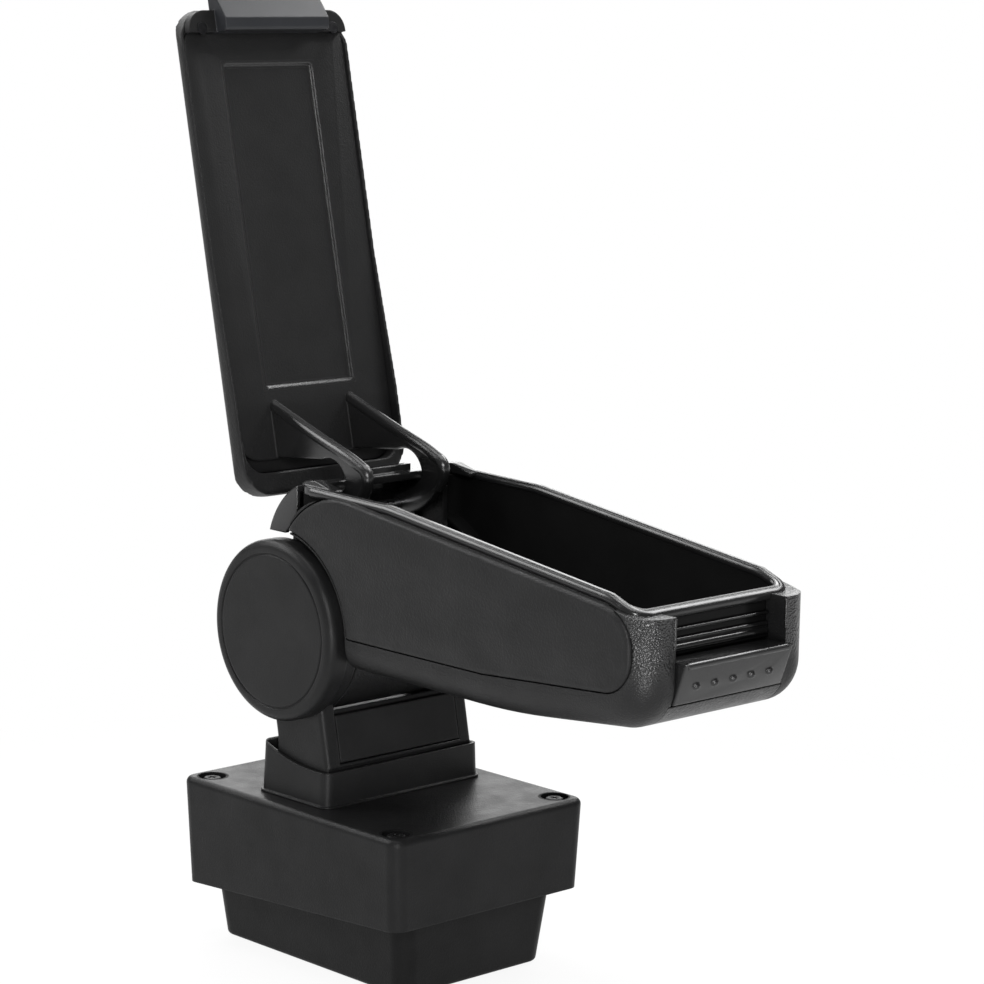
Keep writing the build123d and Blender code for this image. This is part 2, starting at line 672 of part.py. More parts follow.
with BuildPart() as arm_shell:
    add(arm_form.part)
    add(box_room.part, mode=Mode.SUBTRACT)
    with BuildSketch(side):
        with BuildLine():
            Polyline(
                (cavity_rear_y - 1, pocket_depth_z),
                (rim_rear_y + 1, pocket_depth_z),
                (rim_rear_y + 1, above_z),
                (cavity_rear_y - 1, above_z),
                close=True,
            )
        make_face()
    extrude(amount=cavity_half, both=True, mode=Mode.SUBTRACT)
    with BuildSketch(side):
        with Locations((axis_y, axis_z)):
            Circle(knuckle_radius)
    extrude(amount=knuckle_half, both=True)
    with BuildSketch(side.offset(knuckle_half), side.offset(-knuckle_half - 40)):
        with Locations((axis_y, axis_z)):
            Circle(disc_clear_radius)
    extrude(amount=40, dir=(1, 0, 0), mode=Mode.SUBTRACT)
    with BuildSketch(side):
        with Locations((axis_y, axis_z)):
            Circle(knuckle_radius - knuckle_skin)
            Circle(hub_radius, mode=Mode.SUBTRACT)
    extrude(amount=knuckle_half - knuckle_end_wall, both=True, mode=Mode.SUBTRACT)
    with BuildSketch(side):
        with BuildLine():
            Polyline(
                (cavity_rear_y, pocket_depth_z),
                (pin_y + pocket_reach, pocket_depth_z),
                (pin_y + pocket_reach, above_z),
                (cavity_rear_y, above_z),
                close=True,
            )
        make_face()
    extrude(amount=knuckle_half - knuckle_end_wall, both=True, mode=Mode.SUBTRACT)
    with BuildSketch(side):
        with Locations((axis_y, axis_z)):
            Circle(axle_diameter / 2 + bush_wall)
    extrude(amount=knuckle_half, both=True, mode=Mode.SUBTRACT)
    with BuildSketch(side.offset(knuckle_half - knuckle_end_wall), side.offset(-knuckle_half)):
        with BuildLine():
            Polyline(
                (-4, axis_z + hub_radius),
                (25, axis_z + hub_radius),
                (25, 213.6),
                (18.2, 225.6),
                (9, 232.6),
                (-4, 232.6),
                close=True,
            )
        make_face()
        with Locations((pin_y, pin_z)):
            Circle(pin_diameter / 2, mode=Mode.SUBTRACT)
    extrude(amount=knuckle_end_wall, dir=(1, 0, 0))
    with BuildSketch(side.offset(-knuckle_half)):
        with Locations((cover_screw_y, cover_screw_z)):
            Circle(small_screw / 2 + screw_ease)
    extrude(amount=2 * knuckle_half, mode=Mode.SUBTRACT)
    for boss_y, boss_low_z in (
        (liner_screw_front_y, floor_at(liner_screw_front_y) + shell_wall / 2),
        (liner_screw_rear_y, floor_at(liner_screw_rear_y) + shell_wall / 2),
    ):
        with BuildSketch(Plane.XY.offset(boss_low_z)):
            with Locations((-liner_screw_x, boss_y), (liner_screw_x, boss_y)):
                Circle(liner_boss / 2)
        extrude(amount=liner_floor_z - boss_low_z)
    with BuildSketch(Plane.XY.offset(liner_floor_z)):
        with Locations(*liner_screw_spots):
            Circle(small_screw / 2)
    extrude(amount=-liner_screw_bite, mode=Mode.SUBTRACT)
    with BuildSketch(side.offset(cheek_inner_x), side.offset(-half_arm)):
        add(cheek_outline.sketch)
        offset(amount=cheek_gap)
    extrude(amount=half_arm - cheek_inner_x, dir=(1, 0, 0), mode=Mode.SUBTRACT)
    with BuildSketch(side):
        with BuildLine():
            Polyline(
                (bulkhead_y, lip_top_z + fit_gap),
                (bulkhead_y, above_z),
                (beyond_front_y, above_z),
                (beyond_front_y, lip_top_z + fit_gap),
                close=True,
            )
        make_face()
    extrude(amount=recess_half, both=True, mode=Mode.SUBTRACT)
    with BuildSketch(side):
        with BuildLine():
            Polyline(
                (lip_rear_y, cover_top_z),
                (lip_rear_y, lip_top_z + fit_gap),
                (beyond_front_y, lip_top_z + fit_gap),
                (beyond_front_y, cover_top_z),
                close=True,
            )
        make_face()
    extrude(amount=lip_half, both=True, mode=Mode.SUBTRACT)
    with BuildSketch(side):
        with BuildLine():
            Polyline(
                (tab_y, tab_low_z - fit_gap),
                (tab_y, tab_high_z + fit_gap),
                (bulkhead_y, tab_high_z + fit_gap),
                (bulkhead_y, tab_low_z - fit_gap),
                close=True,
            )
        make_face()
    extrude(amount=recess_half + tab_reach + fit_gap, both=True, mode=Mode.SUBTRACT)
arm_shell.part.label = "arm_shell"
export_step(arm_shell.part, "parts/arm_shell.step")

# The front lip below the button
with BuildPart() as front_lip:
    add(arm_form.part)
    with BuildSketch(side):
        with BuildLine():
            Polyline(
                (lip_rear_y, cover_top_z),
                (lip_rear_y, lip_top_z),
                (beyond_front_y, lip_top_z),
                (beyond_front_y, cover_top_z),
                close=True,
            )
        make_face()
    extrude(amount=lip_half - 0.3, both=True, mode=Mode.INTERSECT)
front_lip.part.label = "front_lip"
export_step(front_lip.part, "parts/front_lip.step")

# Padded cheek panels in the pockets of the shell
cheek_outer_x = cheek_inner_x + cheek_thickness
for cheek_name, hand in (("cheek_left", -1), ("cheek_right", 1)):
    with BuildPart() as cheek:
        with BuildSketch(side.offset(hand * cheek_inner_x)):
            add(cheek_outline.sketch)
        extrude(amount=hand * cheek_thickness)
        fillet(cheek.faces().sort_by(Axis.X)[-1 if hand > 0 else 0].edges(), cheek_round)
    cheek.part.label = cheek_name
    export_step(cheek.part, f"parts/{cheek_name}.step")

# The storage liner with its rolled rim
liner_half = cavity_half - 0.4
liner_front_y = bulkhead_y + bulkhead_thickness + 0.3
liner_rear_y = -36
rim_overlap = 2
liner_corner = 7
hinge_plate_half = neck_x - neck_thickness / 2 - 1.5
hinge_plate_thickness = 3
hinge_plate_top_z = rim_rear_z + 3.4
neck_room = 17
horn_inner_x = 42
horn_top_z = rim_rear_z + 2.4
horn_front_y = -16
arch_inner_x = knuckle_half + 0.4
arch_low_z = pocket_depth_z + 0.3
arch_high_z = 226
with BuildPart() as liner_room:
    with BuildSketch(side):
        with BuildLine():
            Polyline(
                (liner_front_y + liner_wall + 1, liner_floor_z + liner_wall),
                (liner_rear_y - liner_wall, liner_floor_z + liner_wall),
                (liner_rear_y - liner_wall, above_z),
                (liner_front_y + liner_wall + 1, above_z),
                close=True,
            )
        make_face()
    extrude(amount=rim_inner_width / 2, both=True)
    chamfer_floor(liner_room)

with BuildPart() as storage_liner:
    with BuildSketch(side):
        with BuildLine():
            Polyline(
                (liner_front_y, liner_floor_z),
                (liner_rear_y, liner_floor_z),
                (liner_rear_y, pocket_depth_z),
                (rim_rear_y, pocket_depth_z),
                (rim_rear_y, rim_rear_z - rim_overlap),
                (rim_knee_y, rim_knee_z - rim_overlap),
                (rim_front_y, rim_front_z - rim_overlap),
                (liner_front_y, post_top_z + 2.4),
                close=True,
            )
        make_face()
    extrude(amount=liner_half, both=True)
    chamfer_floor(storage_liner)
    with BuildSketch(side):
        with BuildLine():
            Polyline(
                (rim_rear_y, rim_rear_z),
                (rim_knee_y, rim_knee_z),
                (rim_front_y, rim_front_z),
                (rim_end_y, post_top_z + rim_end_rise),
                (rim_end_y, post_top_z + 0.2),
                (rim_front_y, rim_front_z - rim_height),
                (rim_knee_y, rim_knee_z - rim_height),
                (rim_rear_y, rim_rear_z - rim_height),
                close=True,
            )
        make_face()
    extrude(amount=rim_outer_width / 2, both=True)
    with BuildSketch(Plane.XY):
        with Locations((0, (rim_rear_y + rim_end_y) / 2)):
            Rectangle(rim_outer_width, rim_rear_y - rim_end_y)
        fillet(vertices().group_by(Axis.Y)[0], rim_corner)
        fillet(vertices().group_by(Axis.Y)[-1], rim_rear_corner)
    extrude(amount=above_z, mode=Mode.INTERSECT)
    add(liner_room.part, mode=Mode.SUBTRACT)
    with BuildSketch(Plane.XY.offset(post_top_z + 0.2)):
        with Locations((0, (rim_end_y + rim_front_bar + rim_knee_y) / 2)):
            Rectangle(rim_inner_width, rim_knee_y - rim_end_y - rim_front_bar)
        fillet(vertices().group_by(Axis.Y)[0], liner_corner)
    extrude(amount=above_z - post_top_z, mode=Mode.SUBTRACT)
    with BuildSketch(Plane.XY.offset(pocket_depth_z - 1)):
        with BuildLine():
            Polyline(
                (rim_inner_width / 2, rim_knee_y),
                (-rim_inner_width / 2, rim_knee_y),
                (-rim_inner_width / 2, rim_rear_y - rim_bar),
                (rim_inner_width / 2, rim_rear_y - rim_bar),
                close=True,
            )
        make_face()
        fillet(vertices().group_by(Axis.Y)[-1], rim_rear_corner - liner_wall)
    extrude(amount=above_z - pocket_depth_z, mode=Mode.SUBTRACT)
    with BuildSketch(side):
        with Locations((axis_y, axis_z)):
            Circle(disc_clear_radius + 1)
    extrude(amount=80, both=True, mode=Mode.SUBTRACT)
    with BuildSketch(side.offset(arch_inner_x), side.offset(-liner_half)):
        with Locations((axis_y, axis_z)):
            Circle(disc_clear_radius + 1 + liner_wall)
            Circle(disc_clear_radius + 1, mode=Mode.SUBTRACT)
        with Locations(((liner_rear_y + rim_rear_y) / 2, (arch_low_z + arch_high_z) / 2)):
            Rectangle(rim_rear_y - liner_rear_y, arch_high_z - arch_low_z, mode=Mode.INTERSECT)
    extrude(amount=liner_half - arch_inner_x, dir=(1, 0, 0))
    with BuildSketch(side):
        with BuildLine():
            Polyline(
                (cavity_rear_y, pocket_depth_z - liner_wall),
                (rim_rear_y + liner_wall, pocket_depth_z - liner_wall),
                (rim_rear_y + liner_wall, rim_rear_z - rim_height),
                (rim_rear_y - rim_bar - neck_room, rim_rear_z - rim_height),
                (rim_rear_y - rim_bar - neck_room, pocket_depth_z),
                close=True,
            )
        make_face()
    extrude(amount=knuckle_half, both=True, mode=Mode.SUBTRACT)
    with BuildSketch(side):
        with Locations((rim_rear_y - hinge_plate_thickness / 2, (rim_rear_z - 1 + hinge_plate_top_z) / 2)):
            Rectangle(hinge_plate_thickness, hinge_plate_top_z - rim_rear_z + 1)
    extrude(amount=hinge_plate_half, both=True)
    with BuildSketch(side.offset(horn_inner_x), side.offset(-rim_inner_width / 2 - 1)):
        with BuildLine():
            Polyline(
                (rim_rear_y - 1.5, rim_rear_z - rim_overlap),
                (rim_rear_y - 1.5, rim_rear_z + 0.5),
                (3.5, horn_top_z - 0.4),
                (-3, horn_top_z),
                (horn_front_y, rim_rear_z - 1),
                (horn_front_y, rim_rear_z - rim_overlap - 1),
                close=True,
            )
        make_face()
    extrude(amount=rim_inner_width / 2 + 1 - horn_inner_x, dir=(1, 0, 0))
    with BuildSketch(Plane.XY.offset(liner_floor_z)):
        with Locations(*liner_screw_spots):
            Circle(small_screw / 2 + screw_ease)
    extrude(amount=liner_wall, mode=Mode.SUBTRACT)
storage_liner.part.label = "storage_liner"
export_step(storage_liner.part, "parts/storage_liner.step")

# Four screws through the liner's floor into the shell
with BuildPart() as liner_screws:
    with BuildSketch(Plane.XY.offset(liner_floor_z + liner_wall)):
        with Locations(*liner_screw_spots):
            Circle(small_head / 2)
    extrude(amount=small_head_height)
    with BuildSketch(Plane.XY.offset(liner_floor_z - liner_screw_bite)):
        with Locations(*liner_screw_spots):
            Circle(small_screw / 2)
    extrude(amount=liner_screw_bite + liner_wall)
liner_screws.part.label = "liner_screws"
export_step(liner_screws.part, "parts/liner_screws.step")

# The sloping rear cover, with two lugs that hold the lid's hinge pin
cover_half = 50
roof_top_y = rim_rear_y + 0.4
roof_top_z = 240
roof_lip_y = 29
roof_lip_z = 215.4
roof_thickness = 2.4
lug_thickness = 3.4
lug_outer_x = knuckle_half - knuckle_end_wall
lug_low_z = axis_z + knuckle_radius + 0.5
with BuildPart() as rear_cover:
    with BuildSketch(side):
        with BuildLine():
            ThreePointArc((roof_top_y, roof_top_z), (21.5, 229.5), (roof_lip_y, roof_lip_z))
            Line((roof_lip_y, roof_lip_z), (roof_lip_y - roof_thickness, roof_lip_z))
            ThreePointArc(
                (roof_lip_y - roof_thickness, roof_lip_z),
                (21.5 - 0.7 * roof_thickness, 229.5 - 0.75 * roof_thickness),
                (roof_top_y, roof_top_z - roof_thickness - 0.8),
            )
            Line((roof_top_y, roof_top_z - roof_thickness - 0.8), (roof_top_y, roof_top_z))
        make_face()
    extrude(amount=cover_half, both=True)
    with BuildSketch(side.offset(cover_half - roof_thickness), side.offset(-cover_half)):
        with BuildLine():
            Polyline(
                (roof_top_y, roof_top_z - roof_thickness),
                (roof_top_y + 8, roof_top_z - 6),
                (21.5 - roof_thickness / 2, 229.5 - roof_thickness / 2),
                (roof_lip_y - roof_thickness / 2, roof_lip_z),
                (roof_lip_y - 12, roof_lip_z),
                (roof_top_y + 2, 223),
                (roof_top_y, 225),
                close=True,
            )
        make_face()
    extrude(amount=roof_thickness, dir=(1, 0, 0))
    with BuildSketch(side.offset(lug_outer_x - lug_thickness), side.offset(-lug_outer_x)):
        with Locations((pin_y, pin_z)):
            Circle(eye_radius + 0.5)
        with BuildLine():
            Polyline(
                (pin_y - 5, pin_z),
                (cover_screw_y - 5, lug_low_z),
                (cover_screw_y + 4, lug_low_z),
                (cover_screw_y + 4, 218),
                (pin_y + 5, 230),
                (pin_y - 5, 235),
                close=True,
            )
        make_face()
    extrude(amount=lug_thickness, dir=(1, 0, 0))
    with BuildSketch(side.offset(-lug_outer_x)):
        with Locations((pin_y, pin_z)):
            Circle(pin_diameter / 2)
        with Locations((cover_screw_y, cover_screw_z)):
            Circle(small_screw / 2)
    extrude(amount=2 * lug_outer_x, mode=Mode.SUBTRACT)
rear_cover.part.label = "rear_cover"
export_step(rear_cover.part, "parts/rear_cover.step")

with BuildPart() as hinge_pin:
    with BuildSketch(side.offset(-knuckle_half)):
        with Locations((pin_y, pin_z)):
            Circle(pin_diameter / 2)
    extrude(amount=2 * knuckle_half)
hinge_pin.part.label = "hinge_pin"
export_step(hinge_pin.part, "parts/hinge_pin.step")

# Screws through the shell's hinge walls into the rear cover
with BuildPart() as cover_screws:
    with BuildSketch(side.offset(knuckle_half), side.offset(-knuckle_half - small_head_height)):
        with Locations((cover_screw_y, cover_screw_z)):
            Circle(small_head / 2)
    extrude(amount=small_head_height, dir=(1, 0, 0))
    with BuildSketch(side.offset(lug_outer_x - lug_thickness), side.offset(-knuckle_half)):
        with Locations((cover_screw_y, cover_screw_z)):
            Circle(small_screw / 2)
    extrude(amount=knuckle_end_wall + lug_thickness, dir=(1, 0, 0))
cover_screws.part.label = "cover_screws"
export_step(cover_screws.part, "parts/cover_screws.step")

# Plain bushes pressed into the hub
bush_length = 16
with BuildPart() as tilt_bushes:
    with BuildSketch(side.offset(knuckle_half - bush_length), side.offset(-knuckle_half)):
        with Locations((axis_y, axis_z)):
            Circle(axle_diameter / 2 + bush_wall)
            Circle(axle_diameter / 2 + run_clearance, mode=Mode.SUBTRACT)
    extrude(amount=bush_length, dir=(1, 0, 0))
tilt_bushes.part.label = "tilt_bushes"
export_step(tilt_bushes.part, "parts/tilt_bushes.step")

# The catch plate at the back of the front recess
catch_half = recess_half - 0.2
catch_top_z = post_top_z - 1
catch_backing = 1
with BuildPart() as catch_plate:
    with BuildSketch(side):
        with BuildLine():
            Polyline(
                (bulkhead_y, catch_low_z),
                (catch_y, catch_low_z),
                (catch_y, slot_low_z),
                (bulkhead_y - catch_backing, slot_low_z),
                (bulkhead_y - catch_backing, slot_high_z),
                (catch_y, slot_high_z),
                (catch_y, slot_high_z + 1.2),
                (bulkhead_y - catch_backing, slot_high_z + 1.2),
                (bulkhead_y - catch_backing, catch_top_z),
                (bulkhead_y, catch_top_z),
                close=True,
            )
        make_face()
    extrude(amount=catch_half, both=True)
catch_plate.part.label = "catch_plate"
export_step(catch_plate.part, "parts/catch_plate.step")

# The release button: a leaning front plate with a row of bumps, a top flange and two retaining tabs
button_rake = (button_low_y - button_top_y) / (button_top_z - button_low_z)
flange_rear_y = bulkhead_y - button_travel - 0.4
button_flange = 2.4
bump_z = 180.5
bump_y = button_low_y - button_rake * (bump_z - button_low_z)
spring_z = 181
spigot_length = 3
spring_seat = 1.8
plate_back_y = button_low_y - button_rake * (spring_z - button_low_z) + button_thickness
with BuildPart() as release_button:
    with BuildSketch(side):
        with BuildLine():
            Polyline(
                (button_low_y, button_low_z),
                (button_top_y, button_top_z),
                (flange_rear_y, button_top_z),
                (flange_rear_y, button_top_z - button_flange),
                (button_top_y + button_thickness + 1, button_top_z - button_flange),
                (button_low_y + button_thickness, button_low_z),
                close=True,
            )
        make_face()
    extrude(amount=button_half, both=True)
    with BuildSketch(side.offset(button_half - button_thickness), side.offset(-button_half)):
        with BuildLine():
            Polyline(
                (button_low_y + button_thickness, tab_low_z),
                (flange_rear_y, tab_low_z),
                (flange_rear_y, button_top_z - button_flange),
                (button_top_y + button_thickness, button_top_z - button_flange),
                (button_low_y - button_rake * (tab_low_z - button_low_z) + 1, tab_low_z),
                close=True,
            )
        make_face()
    extrude(amount=button_thickness, dir=(1, 0, 0))
    with BuildSketch(side.offset(button_half), side.offset(-button_half - tab_reach)):
        with Locations(((tab_y + 0.3 + flange_rear_y) / 2, (tab_low_z + tab_high_z) / 2)):
            Rectangle(flange_rear_y - tab_y - 0.3, tab_high_z - tab_low_z)
    extrude(amount=tab_reach, dir=(1, 0, 0))
    bump_spots = [(bump_pitch * (i - (bump_count - 1) / 2), bump_y, bump_z) for i in range(bump_count)]
    with Locations(*bump_spots):
        Sphere(bump_radius)
    with BuildSketch(Plane.XZ.offset(-plate_back_y + button_thickness / 2)):
        with Locations((-spring_x, spring_z), (spring_x, spring_z)):
            Circle(spring_radius + spring_wire)
    extrude(amount=-spring_seat - button_thickness / 2)
    with BuildSketch(Plane.XZ.offset(-plate_back_y)):
        with Locations((-spring_x, spring_z), (spring_x, spring_z)):
            Circle(spring_radius - spring_wire - fit_gap)
    extrude(amount=-spring_seat - spigot_length)
release_button.part.label = "release_button"
export_step(release_button.part, "parts/release_button.step")

# Two coil springs push the button out
spring_ease = 0.05
spring_start_y = plate_back_y + spring_seat + spring_ease
spring_length = bulkhead_y - spring_start_y - spring_ease
coil_rise = spring_length - spring_wire
with BuildPart() as button_springs:
    for hand in (-1, 1):
        start = (hand * spring_x, spring_start_y + spring_wire / 2, spring_z)
        with BuildLine() as coil:
            Helix(
                coil_rise / spring_turns,
                coil_rise,
                spring_radius - spring_wire / 2,
                center=start,
                direction=(0, 1, 0),
            )
        with BuildSketch(coil.line ^ 0):
            Circle(spring_wire / 2)
        sweep(path=coil.line, is_frenet=True)
button_springs.part.label = "button_springs"
export_step(button_springs.part, "parts/button_springs.step")

# The lid's padded cushion, a plain closed form with a pocket for the board and the panel
lid_inner_edge = panel_plane - 0.2
edge_level = panel_plane - 1.7
skirt_level = panel_plane - 5.2
rear_lip_level = panel_plane - 4
cushion_top = panel_plane + cushion_crown
pocket_gap = 0.4
board_level = panel_plane + lid_panel_thickness
board_rear = 24
board_width = 100
board_corner = 12
edge_height = 5.5
crown_half = 26
crown_lift = 0.5
crown_round = 30
edge_round = 9
lid_screw_at = lid_panel_front - 4.5
lid_screw_x = 42.5
lid_across = Plane(origin=lid_side.origin, x_dir=(1, 0, 0), z_dir=lid_side.x_dir)
with BuildPart() as lid_cushion:
    with BuildSketch(lid_side):
        with BuildLine():
            Line((lid_front - 3, lid_inner_edge), (lid_front - 14, lid_inner_edge))
            Line((lid_front - 14, lid_inner_edge), (lid_front - 19, edge_level))
            Line((lid_front - 19, edge_level), (130, edge_level))
            Line((130, edge_level), (60, skirt_level))
            Line((60, skirt_level), (lid_rear + 2, skirt_level))
            ThreePointArc(
                (lid_rear + 2, skirt_level),
                (lid_rear, lid_inner_edge + 6),
                (lid_rear + 9, cushion_top - 5),
            )
            Spline(
                (lid_rear + 9, cushion_top - 5),
                (60, cushion_top),
                (210, cushion_top - 1),
                (lid_front - 12, cushion_top - 6),
            )
            ThreePointArc(
                (lid_front - 12, cushion_top - 6),
                (lid_front - 1, cushion_top - 14),
                (lid_front - 3, lid_inner_edge),
            )
        make_face()
    extrude(amount=lid_width / 2, both=True)
    with BuildSketch(lid_level(0)):
        with Locations(((lid_rear + lid_front) / 2, 0)):
            RectangleRounded(lid_front - lid_rear, lid_width, lid_corner)
    extrude(amount=cushion_top + crown_lift, mode=Mode.INTERSECT)
    with BuildSketch(lid_across):
        with BuildLine():
            Polyline(
                (-lid_width / 2, 0),
                (-lid_width / 2, panel_plane + edge_height),
                (-crown_half, cushion_top + crown_lift),
                (crown_half, cushion_top + crown_lift),
                (lid_width / 2, panel_plane + edge_height),
                (lid_width / 2, 0),
                close=True,
            )
        make_face()
        fillet(vertices().group_by(Axis.Y)[1], edge_round)
        fillet(vertices().group_by(Axis.Y)[-1], crown_round)
    extrude(amount=lid_front, mode=Mode.INTERSECT)
    with BuildSketch(lid_level(0)):
        with Locations(((lid_panel_rear + lid_panel_front) / 2, 0)):
            RectangleRounded(
                lid_panel_front - lid_panel_rear + 2 * pocket_gap,
                lid_panel_width + 2 * pocket_gap,
                lid_panel_corner,
            )
    extrude(amount=board_level, mode=Mode.SUBTRACT)
    with BuildSketch(lid_level(0)):
        with Locations((lid_panel_rear / 2, 0)):
            Rectangle(2 * lid_panel_rear, lid_panel_width + 2 * pocket_gap)
    extrude(amount=rear_lip_level, mode=Mode.SUBTRACT)
    with BuildSketch(lid_level(0)):
        with Locations(((board_rear + lid_panel_front) / 2, 0)):
            RectangleRounded(
                lid_panel_front - board_rear + 2 * pocket_gap,
                board_width + 2 * pocket_gap,
                board_corner,
            )
    extrude(amount=board_level + board_thickness, mode=Mode.SUBTRACT)
lid_cushion.part.label = "lid_cushion"
export_step(lid_cushion.part, "parts/lid_cushion.step")

# The board that carries the cushion
with BuildPart() as lid_board:
    with BuildSketch(lid_level(board_level)):
        with Locations(((board_rear + lid_panel_front) / 2, 0)):
            RectangleRounded(lid_panel_front - board_rear, board_width, board_corner)
        with Locations((lid_screw_at, lid_screw_x), (lid_screw_at, -lid_screw_x)):
            Circle(small_screw / 2, mode=Mode.SUBTRACT)
    extrude(amount=board_thickness)
lid_board.part.label = "lid_board"
export_step(lid_board.part, "parts/lid_board.step")

# The inner panel with its stepped field and two goose-neck hinge arms
web_front = 58.5
web_rear = 31
hook_tip = 21.5
hook_low = -36
neck_near = neck_x - neck_thickness / 2
with BuildPart() as lid_panel:
    with BuildSketch(lid_level(panel_plane)):
        with Locations(((lid_panel_rear + lid_panel_front) / 2, 0)):
            RectangleRounded(lid_panel_front - lid_panel_rear, lid_panel_width, lid_panel_corner)
    extrude(amount=lid_panel_thickness)
    with BuildSketch(lid_level(panel_plane)):
        with Locations(((field_rear + field_front) / 2, 0)):
            RectangleRounded(field_front - field_rear, field_width, 2)
    extrude(amount=field_step, mode=Mode.SUBTRACT)
    with BuildSketch(lid_side.offset(neck_near), lid_side.offset(-neck_near - neck_thickness)):
        with BuildLine():
            Line((web_front, panel_plane + 1), (hook_tip, hook_low + 4))
            ThreePointArc(
                (hook_tip, hook_low + 4),
                (hook_tip - 4.5, hook_low - 0.6),
                (hook_tip - 10, hook_low),
            )
            ThreePointArc((hook_tip - 10, hook_low), (0, -25), (-eye_radius, 0))
            ThreePointArc((-eye_radius, 0), (0, eye_radius), (eye_radius, 0))
            ThreePointArc((eye_radius, 0), (6.5, -11), (12, -21))
            ThreePointArc((12, -21), (24, -17), (27, -5))
            Line((27, -5), (web_rear, panel_plane + 1))
            Line((web_rear, panel_plane + 1), (web_front, panel_plane + 1))
        make_face()
    extrude(amount=neck_thickness, dir=(-1, 0, 0))
    with BuildSketch(lid_side):
        Circle(pin_diameter / 2 + run_clearance)
    extrude(amount=neck_x + neck_thickness, both=True, mode=Mode.SUBTRACT)
    with BuildSketch(lid_level(panel_plane)):
        with Locations((lid_screw_at, lid_screw_x), (lid_screw_at, -lid_screw_x)):
            Circle(small_screw / 2 + screw_ease)
    extrude(amount=lid_panel_thickness, mode=Mode.SUBTRACT)
lid_panel.part.label = "lid_panel"
export_step(lid_panel.part, "parts/lid_panel.step")

# The pull nose on the lid's front end with its flange, and two screws that hold both to the board
flange_level = panel_plane - 4.5
flange_at = lid_panel_front - 6.5
flange_front = lid_front - 2.5
nose_flange_corner = flange_front - flange_at - 1
nose_level = panel_plane - 12.5
nose_tip = lid_front + 7.5
cushion_gap = 0.2
flange_under = lid_inner_edge - cushion_gap
with BuildPart() as lid_nose:
    with BuildSketch(lid_level(flange_level)):
        with BuildLine():
            Polyline(
                (flange_at, -lid_panel_width / 2 + 1),
                (flange_front, -lid_panel_width / 2 + 1),
                (flange_front, lid_panel_width / 2 - 1),
                (flange_at, lid_panel_width / 2 - 1),
                close=True,
            )
        make_face()
        fillet(vertices().group_by(Axis.X)[-1], nose_flange_corner)
    extrude(amount=flange_under - flange_level)
    with BuildSketch(lid_side):
        with BuildLine():
            Polyline(
                (flange_at, flange_level + 1),
                (flange_at, nose_level + 1.6),
                (flange_at + 1.2, nose_level + 0.5),
                (flange_at + 6, nose_level),
                (nose_tip - 2, nose_level + 6.6),
                (nose_tip, nose_level + 9),
                (nose_tip - 0.9, flange_under),
                (flange_front - 2, flange_under),
                (flange_front - 2, flange_level + 1),
                close=True,
            )
        make_face()
    extrude(amount=nose_half, both=True)
    with BuildSketch(lid_level(flange_level)):
        with Locations((lid_screw_at, lid_screw_x), (lid_screw_at, -lid_screw_x)):
            Circle(small_screw / 2 + screw_ease)
    extrude(amount=flange_under - flange_level, mode=Mode.SUBTRACT)
    with BuildSketch(lid_level(flange_level)):
        with Locations((lid_screw_at, lid_screw_x), (lid_screw_at, -lid_screw_x)):
            Circle(small_head / 2 + screw_ease)
    extrude(amount=small_head_height, mode=Mode.SUBTRACT)
lid_nose.part.label = "lid_nose"
export_step(lid_nose.part, "parts/lid_nose.step")

with BuildPart() as lid_screws:
    with BuildSketch(lid_level(flange_level)):
        with Locations((lid_screw_at, lid_screw_x), (lid_screw_at, -lid_screw_x)):
            Circle(small_head / 2)
    extrude(amount=small_head_height)
    with BuildSketch(lid_level(flange_level)):
        with Locations((lid_screw_at, lid_screw_x), (lid_screw_at, -lid_screw_x)):
            Circle(small_screw / 2)
    extrude(amount=board_level + board_thickness - flange_level)
lid_screws.part.label = "lid_screws"
export_step(lid_screws.part, "parts/lid_screws.step")
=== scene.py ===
# %% [markdown]
# # A car centre armrest with its lid open
# The rigid pieces arrive already shaped and in place, in metres. This lesson dresses them: a padded
# lid, two padded cheeks, grained plastics, a soft white studio and a camera. The box of the bare model
# is kept first.

# %% Load the frame
import math

import bpy
from mathutils import Matrix, Vector


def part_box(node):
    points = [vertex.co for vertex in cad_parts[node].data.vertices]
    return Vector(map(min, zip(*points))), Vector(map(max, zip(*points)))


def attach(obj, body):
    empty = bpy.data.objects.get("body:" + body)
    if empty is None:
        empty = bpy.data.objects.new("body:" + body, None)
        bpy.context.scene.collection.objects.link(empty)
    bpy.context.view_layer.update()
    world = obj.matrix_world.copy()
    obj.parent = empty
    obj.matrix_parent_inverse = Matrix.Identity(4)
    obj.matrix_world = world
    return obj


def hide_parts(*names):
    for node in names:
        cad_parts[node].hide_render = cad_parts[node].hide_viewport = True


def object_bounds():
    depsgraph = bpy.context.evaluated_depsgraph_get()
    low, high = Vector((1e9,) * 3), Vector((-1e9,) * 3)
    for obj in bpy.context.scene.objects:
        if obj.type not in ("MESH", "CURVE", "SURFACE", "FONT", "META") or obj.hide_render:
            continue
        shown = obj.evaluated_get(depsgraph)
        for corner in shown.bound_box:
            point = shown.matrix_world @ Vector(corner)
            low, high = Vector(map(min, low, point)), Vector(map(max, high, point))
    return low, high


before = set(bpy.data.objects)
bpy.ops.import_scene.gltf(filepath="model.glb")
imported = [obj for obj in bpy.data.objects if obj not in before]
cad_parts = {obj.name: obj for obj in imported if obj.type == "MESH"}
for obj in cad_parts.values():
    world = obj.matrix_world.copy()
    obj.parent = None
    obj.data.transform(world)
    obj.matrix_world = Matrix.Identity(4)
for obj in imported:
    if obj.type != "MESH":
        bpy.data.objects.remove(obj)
cad_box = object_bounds()
scene = bpy.context.scene
scene.view_settings.view_transform = "Standard"
print("pieces in the frame:", len(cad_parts))

